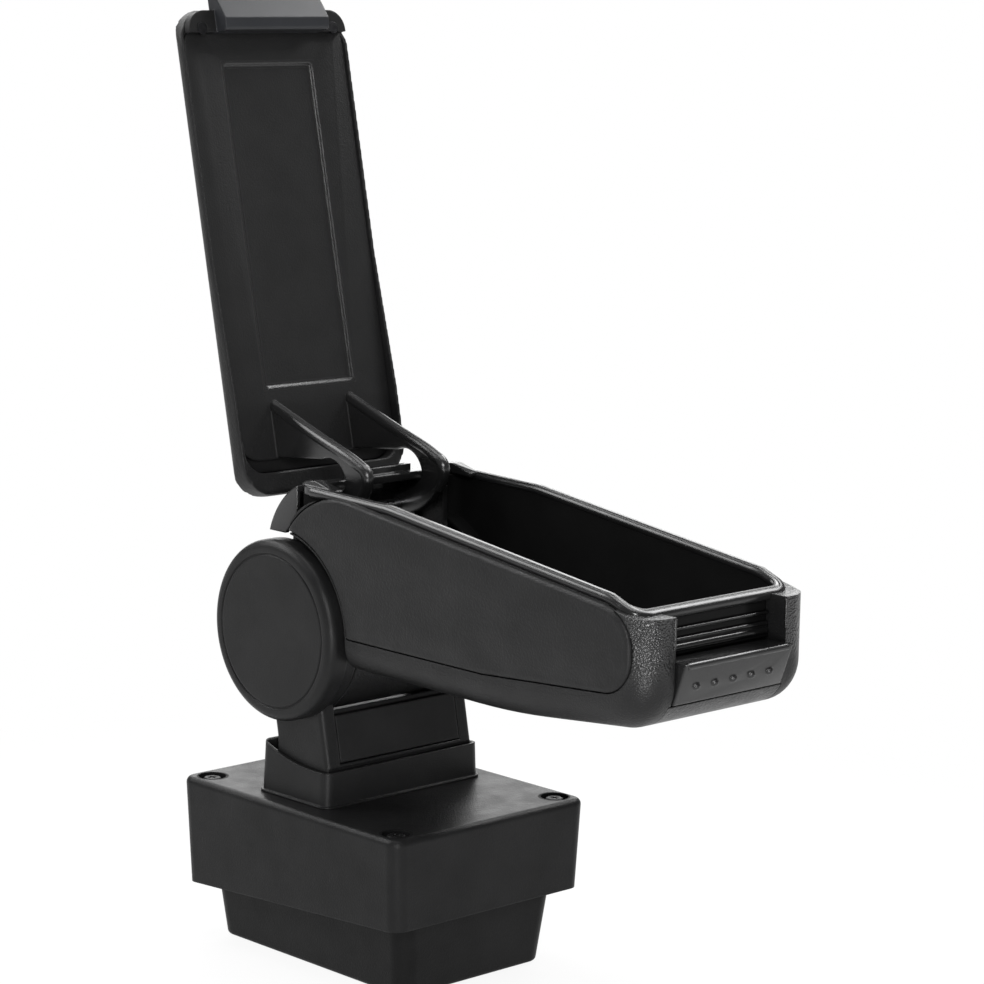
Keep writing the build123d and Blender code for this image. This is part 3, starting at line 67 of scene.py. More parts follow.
# %% [markdown]
# ## The camera
# The object was photographed with a long lens, from a little above and from its front left corner.
# Three directions (right, up and back towards the camera) are worked out from the turn, the lift and a
# small roll, and they become the columns of the camera's matrix. That is more exact than turning a
# camera by eye.

# %% Camera
camera_turn = math.radians(-43.6)
camera_lift = math.radians(9.7)
camera_roll = math.radians(1.0)
camera_target = Vector((0.0727, 0.0, 0.2251))
camera_reach = 1.6317
picture_side = 984
focal_pixels = 3200
sensor_side = 36
view_end = 100

back = Vector((
    math.sin(camera_turn) * math.cos(camera_lift),
    -math.cos(camera_turn) * math.cos(camera_lift),
    math.sin(camera_lift),
))
level_right = Vector((math.cos(camera_turn), math.sin(camera_turn), 0))
level_up = back.cross(level_right)
right = level_right * math.cos(camera_roll) + level_up * math.sin(camera_roll)
up = level_up * math.cos(camera_roll) - level_right * math.sin(camera_roll)

bpy.ops.object.select_all(action="DESELECT")
bpy.ops.object.camera_add()
camera = bpy.context.object
camera_axes = Matrix((right, up, back)).transposed().to_4x4()
camera.matrix_world = Matrix.Translation(camera_target + back * camera_reach) @ camera_axes
camera.data.sensor_fit = "HORIZONTAL"
camera.data.sensor_width = sensor_side
camera.data.lens = focal_pixels / picture_side * sensor_side
camera.data.clip_end = view_end
scene.camera = camera
print("lens in mm:", round(camera.data.lens, 2))

# %% [markdown]
# ## Small helpers for nodes
# Every finish here is a tree of nodes. Adding a node, linking two sockets and doing one step of
# arithmetic come up again and again, so each is a short function. They could be clicked together in the
# shader editor, but in code the same step is sure to be made the same way every time.

# %% Nodes and links
def add_node(finish, kind, **settings):
    """A new node in a finish, with its settings."""
    node = finish.node_tree.nodes.new(kind)
    for setting, value in settings.items():
        setattr(node, setting, value)
    return node


def join(finish, start, end):
    """A link from one socket to another."""
    finish.node_tree.links.new(start, end)


def feed(finish, value, socket):
    """Sets a socket to a plain number, or links another socket to it."""
    if isinstance(value, (int, float)):
        socket.default_value = value
    else:
        join(finish, value, socket)


def start_finish(name):
    """A new finish, its shader and its object coordinates."""
    finish = bpy.data.materials.new(name)
    finish.use_nodes = True
    shader = finish.node_tree.nodes["Principled BSDF"]
    place = add_node(finish, "ShaderNodeTexCoord").outputs["Object"]
    return finish, shader, place


print("node helpers are ready")

# %% Arithmetic on sockets
def number(finish, kind, first, second=0):
    """One step of arithmetic on two sockets or plain numbers."""
    step = add_node(finish, "ShaderNodeMath", operation=kind)
    for socket, value in zip(step.inputs, (first, second)):
        feed(finish, value, socket)
    return step.outputs["Value"]


def ramp(finish, value, start, end):
    """Rises from 0 at start to 1 at end."""
    rise = add_node(finish, "ShaderNodeMapRange", interpolation_type="SMOOTHSTEP")
    rise.inputs["From Min"].default_value = start
    rise.inputs["From Max"].default_value = end
    join(finish, value, rise.inputs["Value"])
    return rise.outputs["Result"]


def blend_numbers(finish, share, first, second):
    """A number that goes from the first to the second with the share."""
    mix = add_node(finish, "ShaderNodeMix", data_type="FLOAT")
    join(finish, share, mix.inputs["Factor"])
    feed(finish, first, mix.inputs["A"])
    feed(finish, second, mix.inputs["B"])
    return mix.outputs["Result"]


def split_place(finish, place):
    """The X, Y and Z of a point, as three sockets."""
    spot = add_node(finish, "ShaderNodeSeparateXYZ")
    join(finish, place, spot.inputs["Vector"])
    return spot.outputs["X"], spot.outputs["Y"], spot.outputs["Z"]


print("arithmetic helpers are ready")

# %% [markdown]
# ## The studio
# The background of the photograph is plain white. A large floor does it: to the camera and in
# reflections it glows by itself, so it reads as white. Close to the base a share of its own shading is
# left, and that share shows the shadow. The glow is switched by the kind of ray, so it adds no diffuse
# light to the object.

# %% Floor
floor_side = 60
floor_gap = 0.0002
floor_tone = (0.82, 0.82, 0.82, 1)
floor_rough = 0.9
shadow_reach = (0.12, 0.5)
near_glow = 0.9
bpy.ops.mesh.primitive_plane_add(size=floor_side, location=(0, 0, cad_box[0].z - floor_gap))
floor = bpy.context.object
floor.name = "studio_floor"
floor_paint, floor_shader, floor_place = start_finish("floor_paint")
floor_shader.inputs["Base Color"].default_value = floor_tone
floor_shader.inputs["Roughness"].default_value = floor_rough
floor.data.materials.append(floor_paint)
print("floor height:", round(floor.location.z, 4))

# %% Floor glow
ray_kind = add_node(floor_paint, "ShaderNodeLightPath")
seen_rays = ray_kind.outputs["Is Camera Ray"]
for ray_name in ("Is Glossy Ray", "Is Transmission Ray"):
    seen_rays = number(floor_paint, "MAXIMUM", seen_rays, ray_kind.outputs[ray_name])
from_base = add_node(floor_paint, "ShaderNodeVectorMath", operation="LENGTH")
join(floor_paint, floor_place, from_base.inputs[0])
far_share = ramp(floor_paint, from_base.outputs["Value"], *shadow_reach)
whiten = blend_numbers(floor_paint, far_share, near_glow, 1)
glow_share = number(floor_paint, "MULTIPLY", seen_rays, whiten)
glow = add_node(floor_paint, "ShaderNodeEmission")
glow.inputs["Color"].default_value = (1, 1, 1, 1)
blend_floor = add_node(floor_paint, "ShaderNodeMixShader")
join(floor_paint, glow_share, blend_floor.inputs[0])
join(floor_paint, floor_shader.outputs[0], blend_floor.inputs[1])
join(floor_paint, glow.outputs[0], blend_floor.inputs[2])
floor_output = floor_paint.node_tree.nodes["Material Output"]
join(floor_paint, blend_floor.outputs[0], floor_output.inputs["Surface"])
print("floor nodes:", len(floor_paint.node_tree.nodes))

# %% [markdown]
# The world gives the even light of a white room, and soft boxes give the highlights: a wide one
# overhead, a smaller one above the camera and one below it that find the rounded front corners, one
# each at the back left, the right and the back for the rolled edges, and a wide one behind on the right
# whose light skims over level surfaces and is hidden from the camera.

# %% World and lamps
room_strength = 0.22
world = bpy.data.worlds.new("white_room")
world.use_nodes = True
scene.world = world
room = world.node_tree.nodes["Background"]
room.inputs["Color"].default_value = (1, 1, 1, 1)
room.inputs["Strength"].default_value = room_strength
object_middle = Vector((0, -0.06, 0.22))


def soft_box(name, place, size, power):
    """An area lamp at a place, turned so that it faces the middle of the object."""
    bpy.ops.object.light_add(type="AREA", location=place)
    lamp = bpy.context.object
    lamp.name = name
    lamp.data.shape = "RECTANGLE"
    lamp.data.size = size[0]
    lamp.data.size_y = size[1]
    lamp.data.energy = power
    lamp.rotation_euler = (object_middle - Vector(place)).to_track_quat("-Z", "Y").to_euler()
    return lamp


soft_box("overhead_box", place=(0.1, -0.1, 1.7), size=(1.2, 1.2), power=14)
soft_box("camera_box", place=(-1.05, -1.2, 0.95), size=(0.4, 0.4), power=12)
soft_box("left_box", place=(-1.0, 1.1, 1.28), size=(0.6, 1.0), power=14)
soft_box("right_box", place=(1.3, -0.1, 1.5), size=(1.3, 0.5), power=20)
soft_box("back_box", place=(0.1, 1.3, 1.5), size=(1.5, 0.5), power=20)
soft_box("low_box", place=(-0.72, -0.85, 0.1), size=(0.3, 0.15), power=4)
skim_box = soft_box("skim_box", place=(1.5, 1.6, 0.8), size=(1.8, 1.1), power=17)
skim_box.visible_camera = False

# %% [markdown]
# ## Finishes
# Every moulded plastic shares a recipe: a slightly clouded colour, a gloss that wanders a little, and a
# grain pressed into the surface as bumps. Moulded corners are never knife sharp, so a bevel node
# softens the normal along the edges and lets them catch the light. Each finish only changes the
# numbers.

# %% Colour and grain helpers
noise_middle = (0.3, 0.7)
bevel_samples = 6


def cloud(finish, place, scale, low=0, high=1, detail=4):
    """A soft noise, stretched from low to high."""
    noise = add_node(finish, "ShaderNodeTexNoise")
    noise.inputs["Scale"].default_value = scale
    noise.inputs["Detail"].default_value = detail
    join(finish, place, noise.inputs["Vector"])
    spread = add_node(finish, "ShaderNodeMapRange")
    spread.inputs["From Min"].default_value = noise_middle[0]
    spread.inputs["From Max"].default_value = noise_middle[1]
    spread.inputs["To Min"].default_value = low
    spread.inputs["To Max"].default_value = high
    join(finish, noise.outputs["Fac"], spread.inputs["Value"])
    return spread.outputs["Result"]


def colour_of(mix):
    """The colour that a mix node gives."""
    return next(socket for socket in mix.outputs if socket.type == "RGBA")


def two_tone(finish, share, dark, light):
    """A colour between dark and light."""
    mix = add_node(finish, "ShaderNodeMix", data_type="RGBA")
    mix.inputs["A"].default_value = (*dark, 1)
    mix.inputs["B"].default_value = (*light, 1)
    join(finish, share, mix.inputs["Factor"])
    return colour_of(mix)


def blend_colours(finish, share, first, second):
    """A colour that goes from the first socket's to the second's with the share."""
    mix = add_node(finish, "ShaderNodeMix", data_type="RGBA")
    join(finish, share, mix.inputs["Factor"])
    join(finish, first, mix.inputs["A"])
    join(finish, second, mix.inputs["B"])
    return colour_of(mix)


def pebbles(finish, place, scale, softness=0.6):
    """The height of a leather grain: rounded pebbles with valleys between them."""
    cells = add_node(finish, "ShaderNodeTexVoronoi", feature="SMOOTH_F1")
    cells.inputs["Scale"].default_value = scale
    cells.inputs["Smoothness"].default_value = softness
    join(finish, place, cells.inputs["Vector"])
    return cells.outputs["Distance"]


def press(finish, shader, height, depth, strength=1.0, edge=0.0):
    """Presses a height into the surface, over edges that are softened by a bevel."""
    bump = add_node(finish, "ShaderNodeBump")
    bump.inputs["Strength"].default_value = strength
    bump.inputs["Distance"].default_value = depth
    join(finish, height, bump.inputs["Height"])
    if edge:
        soft_edge = add_node(finish, "ShaderNodeBevel", samples=bevel_samples)
        soft_edge.inputs["Radius"].default_value = edge
        join(finish, soft_edge.outputs["Normal"], bump.inputs["Normal"])
    join(finish, bump.outputs["Normal"], shader.inputs["Normal"])


print("colour and grain helpers are ready")

# %% [markdown]
# The base, the pedestal and the pivot caps are plain black plastic with a fine spark-eroded grain. The
# pebbles are under a millimetre, so from a distance they only spread the highlight. The plug below the
# base cover is painted darker, as painted shade under the cover's skirt.

# %% Moulded black plastic
tone_scale = 40
gloss_scale = 90
gloss_spread = 0.05
grain_strength = 0.6


def moulded_plastic(name, dark, light, rough, grain, depth, edge, shine=0.16):
    """Black plastic with a fine pressed grain."""
    finish, shader, place = start_finish(name)
    shader.inputs["Specular IOR Level"].default_value = shine
    tone = cloud(finish, place, tone_scale)
    join(finish, two_tone(finish, tone, dark, light), shader.inputs["Base Color"])
    gloss = cloud(finish, place, gloss_scale, rough - gloss_spread, rough + gloss_spread)
    join(finish, gloss, shader.inputs["Roughness"])
    press(finish, shader, pebbles(finish, place, grain), depth, grain_strength, edge)
    return finish


dark_tone = (0.0085, 0.0085, 0.0087)
mid_tone = (0.0125, 0.0125, 0.0128)
# The plug's deep tone is painted shade: it darkens the plug, which sits under the skirt of the base cover.
plug_shade_tone = (0.0055, 0.0055, 0.0056)
base_grain = {"grain": 1300, "depth": 0.00014}
black_grain = moulded_plastic("black_grain", dark_tone, mid_tone, rough=0.38, edge=0.0014, **base_grain)
# The plug's finish is painted darker than the cover, as painted shade.
plug_grain = moulded_plastic(
    "plug_grain", plug_shade_tone, dark_tone, rough=0.42, edge=0.0012, shine=0.1, **base_grain
)
black_satin = moulded_plastic(
    "black_satin", dark_tone, mid_tone, rough=0.22, grain=1800, depth=0.00002, edge=0.0014, shine=0.5
)
black_fine = moulded_plastic(
    "black_fine", dark_tone, mid_tone, rough=0.38, grain=1600, depth=0.00008, edge=0.0012
)
print("plastics:", black_grain.name, plug_grain.name, black_satin.name, black_fine.name)

# %% [markdown]
# The screws of the base cover sit in round wells whose edges are dull and dark. The cover has the grain
# of the base, and its shine fades out around the four places, found by their distance from the middle
# of each well. The dull rings could be painted on a map by hand, but a distance needs only arithmetic.

# %% Base cover with its wells
well_inset = (0.011, 0.012)
well_dull = 0.0078
well_fade = 0.0086
well_shine = 0.01
cover_shine = 0.11
cover_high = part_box("base_cover")[1]
well_x = cover_high.x - well_inset[0]
well_y = cover_high.y - well_inset[1]
cover_grain = moulded_plastic("cover_grain", dark_tone, mid_tone, rough=0.38, edge=0.0014, **base_grain)
shader = cover_grain.node_tree.nodes["Principled BSDF"]
place = add_node(cover_grain, "ShaderNodeTexCoord").outputs["Object"]
place_x, place_y, place_z = split_place(cover_grain, place)
aside = number(cover_grain, "SUBTRACT", number(cover_grain, "ABSOLUTE", place_x), well_x)
along = number(cover_grain, "SUBTRACT", number(cover_grain, "ABSOLUTE", place_y), well_y)
aside_square = number(cover_grain, "POWER", aside, 2)
along_square = number(cover_grain, "POWER", along, 2)
from_well = number(cover_grain, "SQRT", number(cover_grain, "ADD", aside_square, along_square))
off_well = ramp(cover_grain, from_well, well_dull, well_fade)
shine = blend_numbers(cover_grain, off_well, well_shine, cover_shine)
join(cover_grain, shine, shader.inputs["Specular IOR Level"])
print("base cover finish:", cover_grain.name)

# %% [markdown]
# The arm's shell carries two grains. The tops of its front posts have a coarse, sparkling leather
# grain, and further back and further down the same moulding goes over to the fine one. Two masks blend
# the two heights. A third leaves the walls of the front recess plain and dull, because little light
# finds its way in there.

# %% Shell plastic
coarse_from = -0.213
coarse_to = -0.222
coarse_low = 0.176
coarse_high = 0.198
coarse_relief = 2.6
coarse_rough = 0.24
coarse_shine = 0.6
recess_wall = 0.0361
recess_shine = 0.05
mask_edge = 0.0003
shell_shine = 0.22
shell_finish, shader, place = start_finish("shell_grain")
place_x, place_y, place_z = split_place(shell_finish, place)
along_share = ramp(shell_finish, place_y, coarse_from, coarse_to)
upper_share = ramp(shell_finish, place_z, coarse_low, coarse_high)
tip_share = number(shell_finish, "MULTIPLY", along_share, upper_share)
aside = number(shell_finish, "ABSOLUTE", place_x)
outer_share = ramp(shell_finish, aside, recess_wall, recess_wall + mask_edge)
coarse_share = number(shell_finish, "MULTIPLY", tip_share, outer_share)
recess_share = number(shell_finish, "SUBTRACT", tip_share, coarse_share)
fine_height = pebbles(shell_finish, place, base_grain["grain"])
coarse_pebbles = pebbles(shell_finish, place, scale=1000, softness=0.4)
coarse_height = number(shell_finish, "MULTIPLY", coarse_pebbles, coarse_relief)
shell_height = blend_numbers(shell_finish, coarse_share, fine_height, coarse_height)
press(shell_finish, shader, shell_height, depth=0.0003, strength=0.7, edge=0.0012)
tone = cloud(shell_finish, place, tone_scale)
join(shell_finish, two_tone(shell_finish, tone, dark_tone, mid_tone), shader.inputs["Base Color"])
plain_gloss = cloud(shell_finish, place, gloss_scale, low=0.36, high=0.44)
gloss = blend_numbers(shell_finish, coarse_share, plain_gloss, coarse_rough)
join(shell_finish, gloss, shader.inputs["Roughness"])
plain_shine = blend_numbers(shell_finish, recess_share, shell_shine, recess_shine)
shine = blend_numbers(shell_finish, coarse_share, plain_shine, coarse_shine)
join(shell_finish, shine, shader.inputs["Specular IOR Level"])
print("shell finish:", shell_finish.name)

# %% [markdown]
# The front lip is pressed with the coarse grain all over. It could share the shell's finish, but it
# needs none of its masks, so it has a simpler one of its own.

# %% Coarse grain
coarse_grain, shader, place = start_finish("coarse_grain")
tone = cloud(coarse_grain, place, scale=60)
join(coarse_grain, two_tone(coarse_grain, tone, dark_tone, mid_tone), shader.inputs["Base Color"])
join(coarse_grain, cloud(coarse_grain, place, scale=120, low=0.3, high=0.42), shader.inputs["Roughness"])
lip_pebbles = pebbles(coarse_grain, place, scale=760, softness=0.3)
press(coarse_grain, shader, lip_pebbles, depth=0.0006, strength=0.7, edge=0.0012)
print("lip finish:", coarse_grain.name)

# %% [markdown]
# The liner is one moulding with two looks. Its rim is polished, and its inside is flocked and matte,
# with its colour painted nearly black as painted shade inside the deep box. The rim follows two straight
# runs that meet at a knee, so the mask compares each point's height with the lower of the two lines. A
# fine groove marks the middle of the rim where the rolled bead, made further down, leaves it bare.

# %% Liner finish
rim_knee = (-0.058, 0.2392)
rear_run = 0.027
front_run = 0.128
rim_depth = 0.0042
rim_fade = 0.0006
rim_middle = 0.0489
groove_half = 0.0007
groove_depth = 0.0005
# The inside's near-black colour is painted shade of the deep box.
inside_shade_dark = (0.0022, 0.0022, 0.0022)
inside_shade_light = (0.0036, 0.0036, 0.0036)
flock_rough = 0.85
flock_shine = 0.1
rim_rough = 0.2
rim_shine = 0.5
liner_finish, shader, place = start_finish("liner_finish")
place_x, place_y, place_z = split_place(liner_finish, place)
past_knee = number(liner_finish, "SUBTRACT", place_y, rim_knee[0])
rear_line = number(liner_finish, "MULTIPLY", past_knee, rear_run)
front_line = number(liner_finish, "MULTIPLY", past_knee, front_run)
lower_line = number(liner_finish, "MINIMUM", rear_line, front_line)
rim_line = number(liner_finish, "ADD", lower_line, rim_knee[1])
over_line = number(liner_finish, "SUBTRACT", place_z, rim_line)
on_rim = ramp(liner_finish, over_line, -rim_depth, -rim_depth + rim_fade)
tone = cloud(liner_finish, place, scale=50)
inside_shade_tone = two_tone(liner_finish, tone, inside_shade_dark, inside_shade_light)
rim_tone = two_tone(liner_finish, tone, dark_tone, mid_tone)
join(liner_finish, blend_colours(liner_finish, on_rim, inside_shade_tone, rim_tone), shader.inputs["Base Color"])
join(liner_finish, blend_numbers(liner_finish, on_rim, flock_rough, rim_rough), shader.inputs["Roughness"])
shine = blend_numbers(liner_finish, on_rim, flock_shine, rim_shine)
join(liner_finish, shine, shader.inputs["Specular IOR Level"])
aside = number(liner_finish, "ABSOLUTE", place_x)
off_groove = number(liner_finish, "ABSOLUTE", number(liner_finish, "SUBTRACT", aside, rim_middle))
groove = ramp(liner_finish, off_groove, 0, groove_half)
press(liner_finish, shader, groove, groove_depth, edge=0.0012)
print("liner finish:", liner_finish.name)

# %% [markdown]
# The lid's inner panel is grained. The two goose-neck hinge arms that grow out of it are smooth and
# shine, and so does the step round its sunken field. How far a point stands out of the lid's plane
# finds the arms, and its distance from the outline of the field finds the step. Such masks could be
# painted, but the lid's own sizes place them more exactly.

# %% Places on the lid panel
lid_pin = (0.016, 0.2224)
lid_out = (0.9767, -0.2147)
lid_along = (0.2147, 0.9767)
arm_level = 0.0278
arm_fade = 0.0008
field_half_width = 0.0285
field_centre = 0.147
field_half_length = 0.081
step_outer = 0.0022
step_inner = 0.0012
panel_finish, panel_shader, panel_place = start_finish("panel_finish")
place_x, place_y, place_z = split_place(panel_finish, panel_place)
from_pin_y = number(panel_finish, "SUBTRACT", place_y, lid_pin[0])
from_pin_z = number(panel_finish, "SUBTRACT", place_z, lid_pin[1])


def lid_distance(way):
    """Distance from the hinge pin along a direction of the lid."""
    part_y = number(panel_finish, "MULTIPLY", from_pin_y, way[0])
    return number(panel_finish, "ADD", part_y, number(panel_finish, "MULTIPLY", from_pin_z, way[1]))


on_arm = ramp(panel_finish, lid_distance(lid_out), arm_level, arm_level - arm_fade)
aside = number(panel_finish, "ABSOLUTE", place_x)
from_centre = number(panel_finish, "SUBTRACT", lid_distance(lid_along), field_centre)
along = number(panel_finish, "ABSOLUTE", from_centre)
past_side = number(panel_finish, "SUBTRACT", aside, field_half_width)
past_end = number(panel_finish, "SUBTRACT", along, field_half_length)
off_edge = number(panel_finish, "ABSOLUTE", number(panel_finish, "MAXIMUM", past_side, past_end))
on_edge = ramp(panel_finish, off_edge, step_outer, step_inner)
polished = number(panel_finish, "MAXIMUM", on_arm, on_edge)
print("masks on the lid panel: arms and step")

# %% Lid panel finish
panel_dark = (0.0088, 0.0088, 0.009)
panel_light = (0.0104, 0.0104, 0.0106)
panel_shine = 0.26
polish_rough = 0.24
polish_shine = 0.7
polish_height = 0.5
tone = cloud(panel_finish, panel_place, scale=45)
join(panel_finish, two_tone(panel_finish, tone, panel_dark, panel_light), panel_shader.inputs["Base Color"])
panel_gloss = cloud(panel_finish, panel_place, gloss_scale, low=0.45, high=0.49)
gloss = blend_numbers(panel_finish, polished, panel_gloss, polish_rough)
join(panel_finish, gloss, panel_shader.inputs["Roughness"])
panel_pebbles = pebbles(panel_finish, panel_place, scale=1100)
panel_height = blend_numbers(panel_finish, polished, panel_pebbles, polish_height)
press(panel_finish, panel_shader, panel_height, depth=0.00012, strength=grain_strength, edge=0.0016)
shine = blend_numbers(panel_finish, polished, panel_shine, polish_shine)
join(panel_finish, shine, panel_shader.inputs["Specular IOR Level"])
print("lid panel finish:", panel_finish.name)

# %% [markdown]
# The padded pieces wear vinyl with a leather grain: two sizes of pebbles with valleys between them, and
# a little sheen where the skin turns away. A picture of leather could do it too, but a pattern worked
# out in space needs no unwrapping and shows no seams.

# %% Vinyl
small_share = 0.5
vinyl, shader, place = start_finish("vinyl_leather")
tone = cloud(vinyl, place, scale=35)
join(vinyl, two_tone(vinyl, tone, dark_tone, mid_tone), shader.inputs["Base Color"])
join(vinyl, cloud(vinyl, place, scale=150, low=0.4, high=0.52), shader.inputs["Roughness"])
large_pebbles = pebbles(vinyl, place, scale=900, softness=0.4)
small_pebbles = number(vinyl, "MULTIPLY", pebbles(vinyl, place, scale=2000, softness=0.5), small_share)
leather_height = number(vinyl, "ADD", large_pebbles, small_pebbles)
press(vinyl, shader, leather_height, depth=0.0002, strength=grain_strength)
shader.inputs["Specular IOR Level"].default_value = 0.2
shader.inputs["Sheen Weight"].default_value = 0.03
shader.inputs["Sheen Roughness"].default_value = 0.4
print("vinyl:", vinyl.name)

# %% [markdown]
# The small metal pieces are plated steel: a dull metal with faint marks, which one fine noise gives to
# the colour and the bumps alike. The bearings inside the pivot are pale nylon, so they use the
# plastics' recipe.

# %% Metal and nylon
metal_gloss_scale = 400
smoother = 0.06
rougher = 0.08


def metal(name, dark, light, rough):
    """Plated steel with faint marks."""
    finish, shader, place = start_finish(name)
    shader.inputs["Metallic"].default_value = 1
    marks = cloud(finish, place, scale=700, detail=6)
    join(finish, two_tone(finish, marks, dark, light), shader.inputs["Base Color"])
    gloss = cloud(finish, place, metal_gloss_scale, rough - smoother, rough + rougher)
    join(finish, gloss, shader.inputs["Roughness"])
    press(finish, shader, marks, depth=0.00003, strength=0.4, edge=0.0003)
    return finish


nylon_dark = (0.5, 0.49, 0.45)
nylon_light = (0.58, 0.57, 0.53)
dark_zinc = metal("dark_zinc", dark=(0.025, 0.025, 0.027), light=(0.05, 0.05, 0.052), rough=0.42)
bright_steel = metal("bright_steel", dark=(0.45, 0.45, 0.46), light=(0.6, 0.6, 0.61), rough=0.3)
nylon = moulded_plastic(
    "pale_nylon", nylon_dark, nylon_light, rough=0.5, grain=900, depth=0.00005, edge=0.0004
)
print("small finishes:", dark_zinc.name, bright_steel.name, nylon.name)

# %% [markdown]
# The pull nose at the lid's end is a glossier plastic, and its colour is painted paler as painted light
# on its face, which turns up towards the lamps; its flange on either side is as dark as the panel. The
# catch plate is smooth and hardly shines, and its colour is painted a deeper black as painted shade in
# the recess behind the button. The round beads on it share that painted shade and shine well.

# %% Nose and gloss
flange_from = 0.0336
# The nose's paler colour is painted light on its face, which turns up towards the lamps.
lit_nose_dark = (0.019, 0.02, 0.0225)
lit_nose_light = (0.024, 0.025, 0.028)
nose_rough = 0.32
nose_shine = 0.24
flange_rough = 0.45
flange_shine = 0.16
nose_gloss, shader, place = start_finish("nose_gloss")
aside = number(nose_gloss, "ABSOLUTE", split_place(nose_gloss, place)[0])
on_flange = ramp(nose_gloss, aside, flange_from, flange_from + mask_edge)
tone = cloud(nose_gloss, place, scale=60)
pull_painted_light = two_tone(nose_gloss, tone, lit_nose_dark, lit_nose_light)
flange_tone = two_tone(nose_gloss, tone, dark_tone, mid_tone)
join(nose_gloss, blend_colours(nose_gloss, on_flange, pull_painted_light, flange_tone), shader.inputs["Base Color"])
join(nose_gloss, blend_numbers(nose_gloss, on_flange, nose_rough, flange_rough), shader.inputs["Roughness"])
shine = blend_numbers(nose_gloss, on_flange, nose_shine, flange_shine)
join(nose_gloss, shine, shader.inputs["Specular IOR Level"])
smooth_grain = pebbles(nose_gloss, place, scale=2000)
press(nose_gloss, shader, smooth_grain, depth=0.00002, strength=grain_strength, edge=0.0012)
# These deeper blacks are painted shade in the recess behind the button, on the catch plate and its beads.
shaded_gloss_dark = (0.004, 0.004, 0.0041)
shaded_gloss_light = (0.006, 0.006, 0.0061)
gloss_grain = {"grain": 2000, "depth": 0.00001, "edge": 0.001}
shaded_black_gloss = moulded_plastic("shaded_black_gloss", shaded_gloss_dark, shaded_gloss_light, rough=0.18, shine=0.05, **gloss_grain)
bead_gloss = moulded_plastic("bead_gloss", shaded_gloss_dark, shaded_gloss_light, rough=0.14, shine=0.5, **gloss_grain)
print("gloss finishes:", nose_gloss.name, shaded_black_gloss.name, bead_gloss.name)

# %% [markdown]
# Each solid keeps its shape and takes the finish of its real material. The screws of the base are
# painted black, so they share the plug's dull black, and with it the plug's painted shade.

# %% Finishes on the rigid pieces
pieces_in = (
    # The base screws share the plug's painted shade.
    (plug_grain, ("base_plug", "base_screws")),
    (cover_grain, ("base_cover",)),
    (black_grain, ("pedestal_column",)),
    (black_fine, ("column_front_panel", "column_rear_panel", "pedestal_collar", "lid_board")),
    (black_fine, ("pivot_cap_left", "pivot_cap_right")),
    (shell_finish, ("arm_shell",)),
    (coarse_grain, ("front_lip",)),
    (liner_finish, ("storage_liner",)),
    (black_satin, ("rear_cover", "release_button")),
    # The catch plate's deep black is painted shade.
    (shaded_black_gloss, ("catch_plate",)),
    (panel_finish, ("lid_panel",)),
    (nose_gloss, ("lid_nose",)),
    (dark_zinc, ("lid_screws", "liner_screws", "cover_screws")),
    (bright_steel, ("foot_screws", "foot_plate", "hinge_pin", "button_springs")),
    (bright_steel, ("tilt_axle", "axle_nut", "axle_washers")),
    (nylon, ("friction_washers", "tilt_bushes")),
    (vinyl, ("lid_cushion", "cheek_left", "cheek_right")),
)
finish_of = {node_name: finish for finish, node_names in pieces_in for node_name in node_names}
for node_name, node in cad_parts.items():
    node.data.materials.clear()
    node.data.materials.append(finish_of[node_name])
print("finished nodes:", len(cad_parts))

# %% [markdown]
# ## Rounded edges
# The lid's panel with its hinge arms, the button, the rear cover and the liner have rounded edges that
# shine. A bevel node could only fake them. So each gets a copy whose flat regions are dissolved into
# single faces, and a bevel modifier rolls its sharp edges over. The copy takes the solid's place.

# %% Copies of solids
weld_distance = 0.00002


def only(piece):
    """Makes a piece the one that is selected and active."""
    bpy.ops.object.select_all(action="DESELECT")
    piece.select_set(True)
    bpy.context.view_layer.objects.active = piece


def scene_object(name, data):
    """A new object in the scene, selected by itself."""
    piece = bpy.data.objects.new(name, data)
    scene.collection.objects.link(piece)
    only(piece)
    return piece


def merged_copy(node_name, name):
    """A copy of a solid whose loose triangles are joined into one skin."""
    piece = scene_object(name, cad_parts[node_name].data.copy())
    bpy.ops.object.mode_set(mode="EDIT")
    bpy.ops.mesh.select_all(action="SELECT")
    bpy.ops.mesh.remove_doubles(threshold=weld_distance)
    bpy.ops.object.mode_set(mode="OBJECT")
    return piece


print("weld distance in mm:", weld_distance * 1000)

# %% Rounded copies
flat_angle = math.radians(1)
sharp_angle = math.radians(35)
roll_steps = 4


def rounded_copy(node_name, body, width):
    """A copy of a solid with its sharp edges rolled over."""
    piece = merged_copy(node_name, node_name + "_rounded")
    bpy.ops.object.mode_set(mode="EDIT")
    bpy.ops.mesh.select_all(action="SELECT")
    bpy.ops.mesh.dissolve_limited(angle_limit=flat_angle)
    bpy.ops.object.mode_set(mode="OBJECT")
    bpy.ops.object.shade_smooth()
    roll = piece.modifiers.new("roll", "BEVEL")
    roll.width = width
    roll.segments = roll_steps
    roll.limit_method = "ANGLE"
    roll.angle_limit = sharp_angle
    roll.harden_normals = True
    bpy.ops.object.modifier_apply(modifier=roll.name)
    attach(piece, body)
    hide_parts(node_name)
    print(piece.name, "faces:", len(piece.data.polygons))


rounded_copy("lid_panel", "lid", width=0.0016)
rounded_copy("release_button", "button", width=0.001)
rounded_copy("rear_cover", "arm", width=0.0008)
rounded_copy("storage_liner", "arm", width=0.0012)

# %% [markdown]
# ## Round beads
# Some edges of the real object are full round beads, and a bevel can't roll them that far. Each is a
# curve through a few points, given a round section and turned into a mesh. The first ones are the upper
# edges of the hinge arms, which run down into the hooks. Their points are measured from the hinge pin,
# along the lid and out of it.

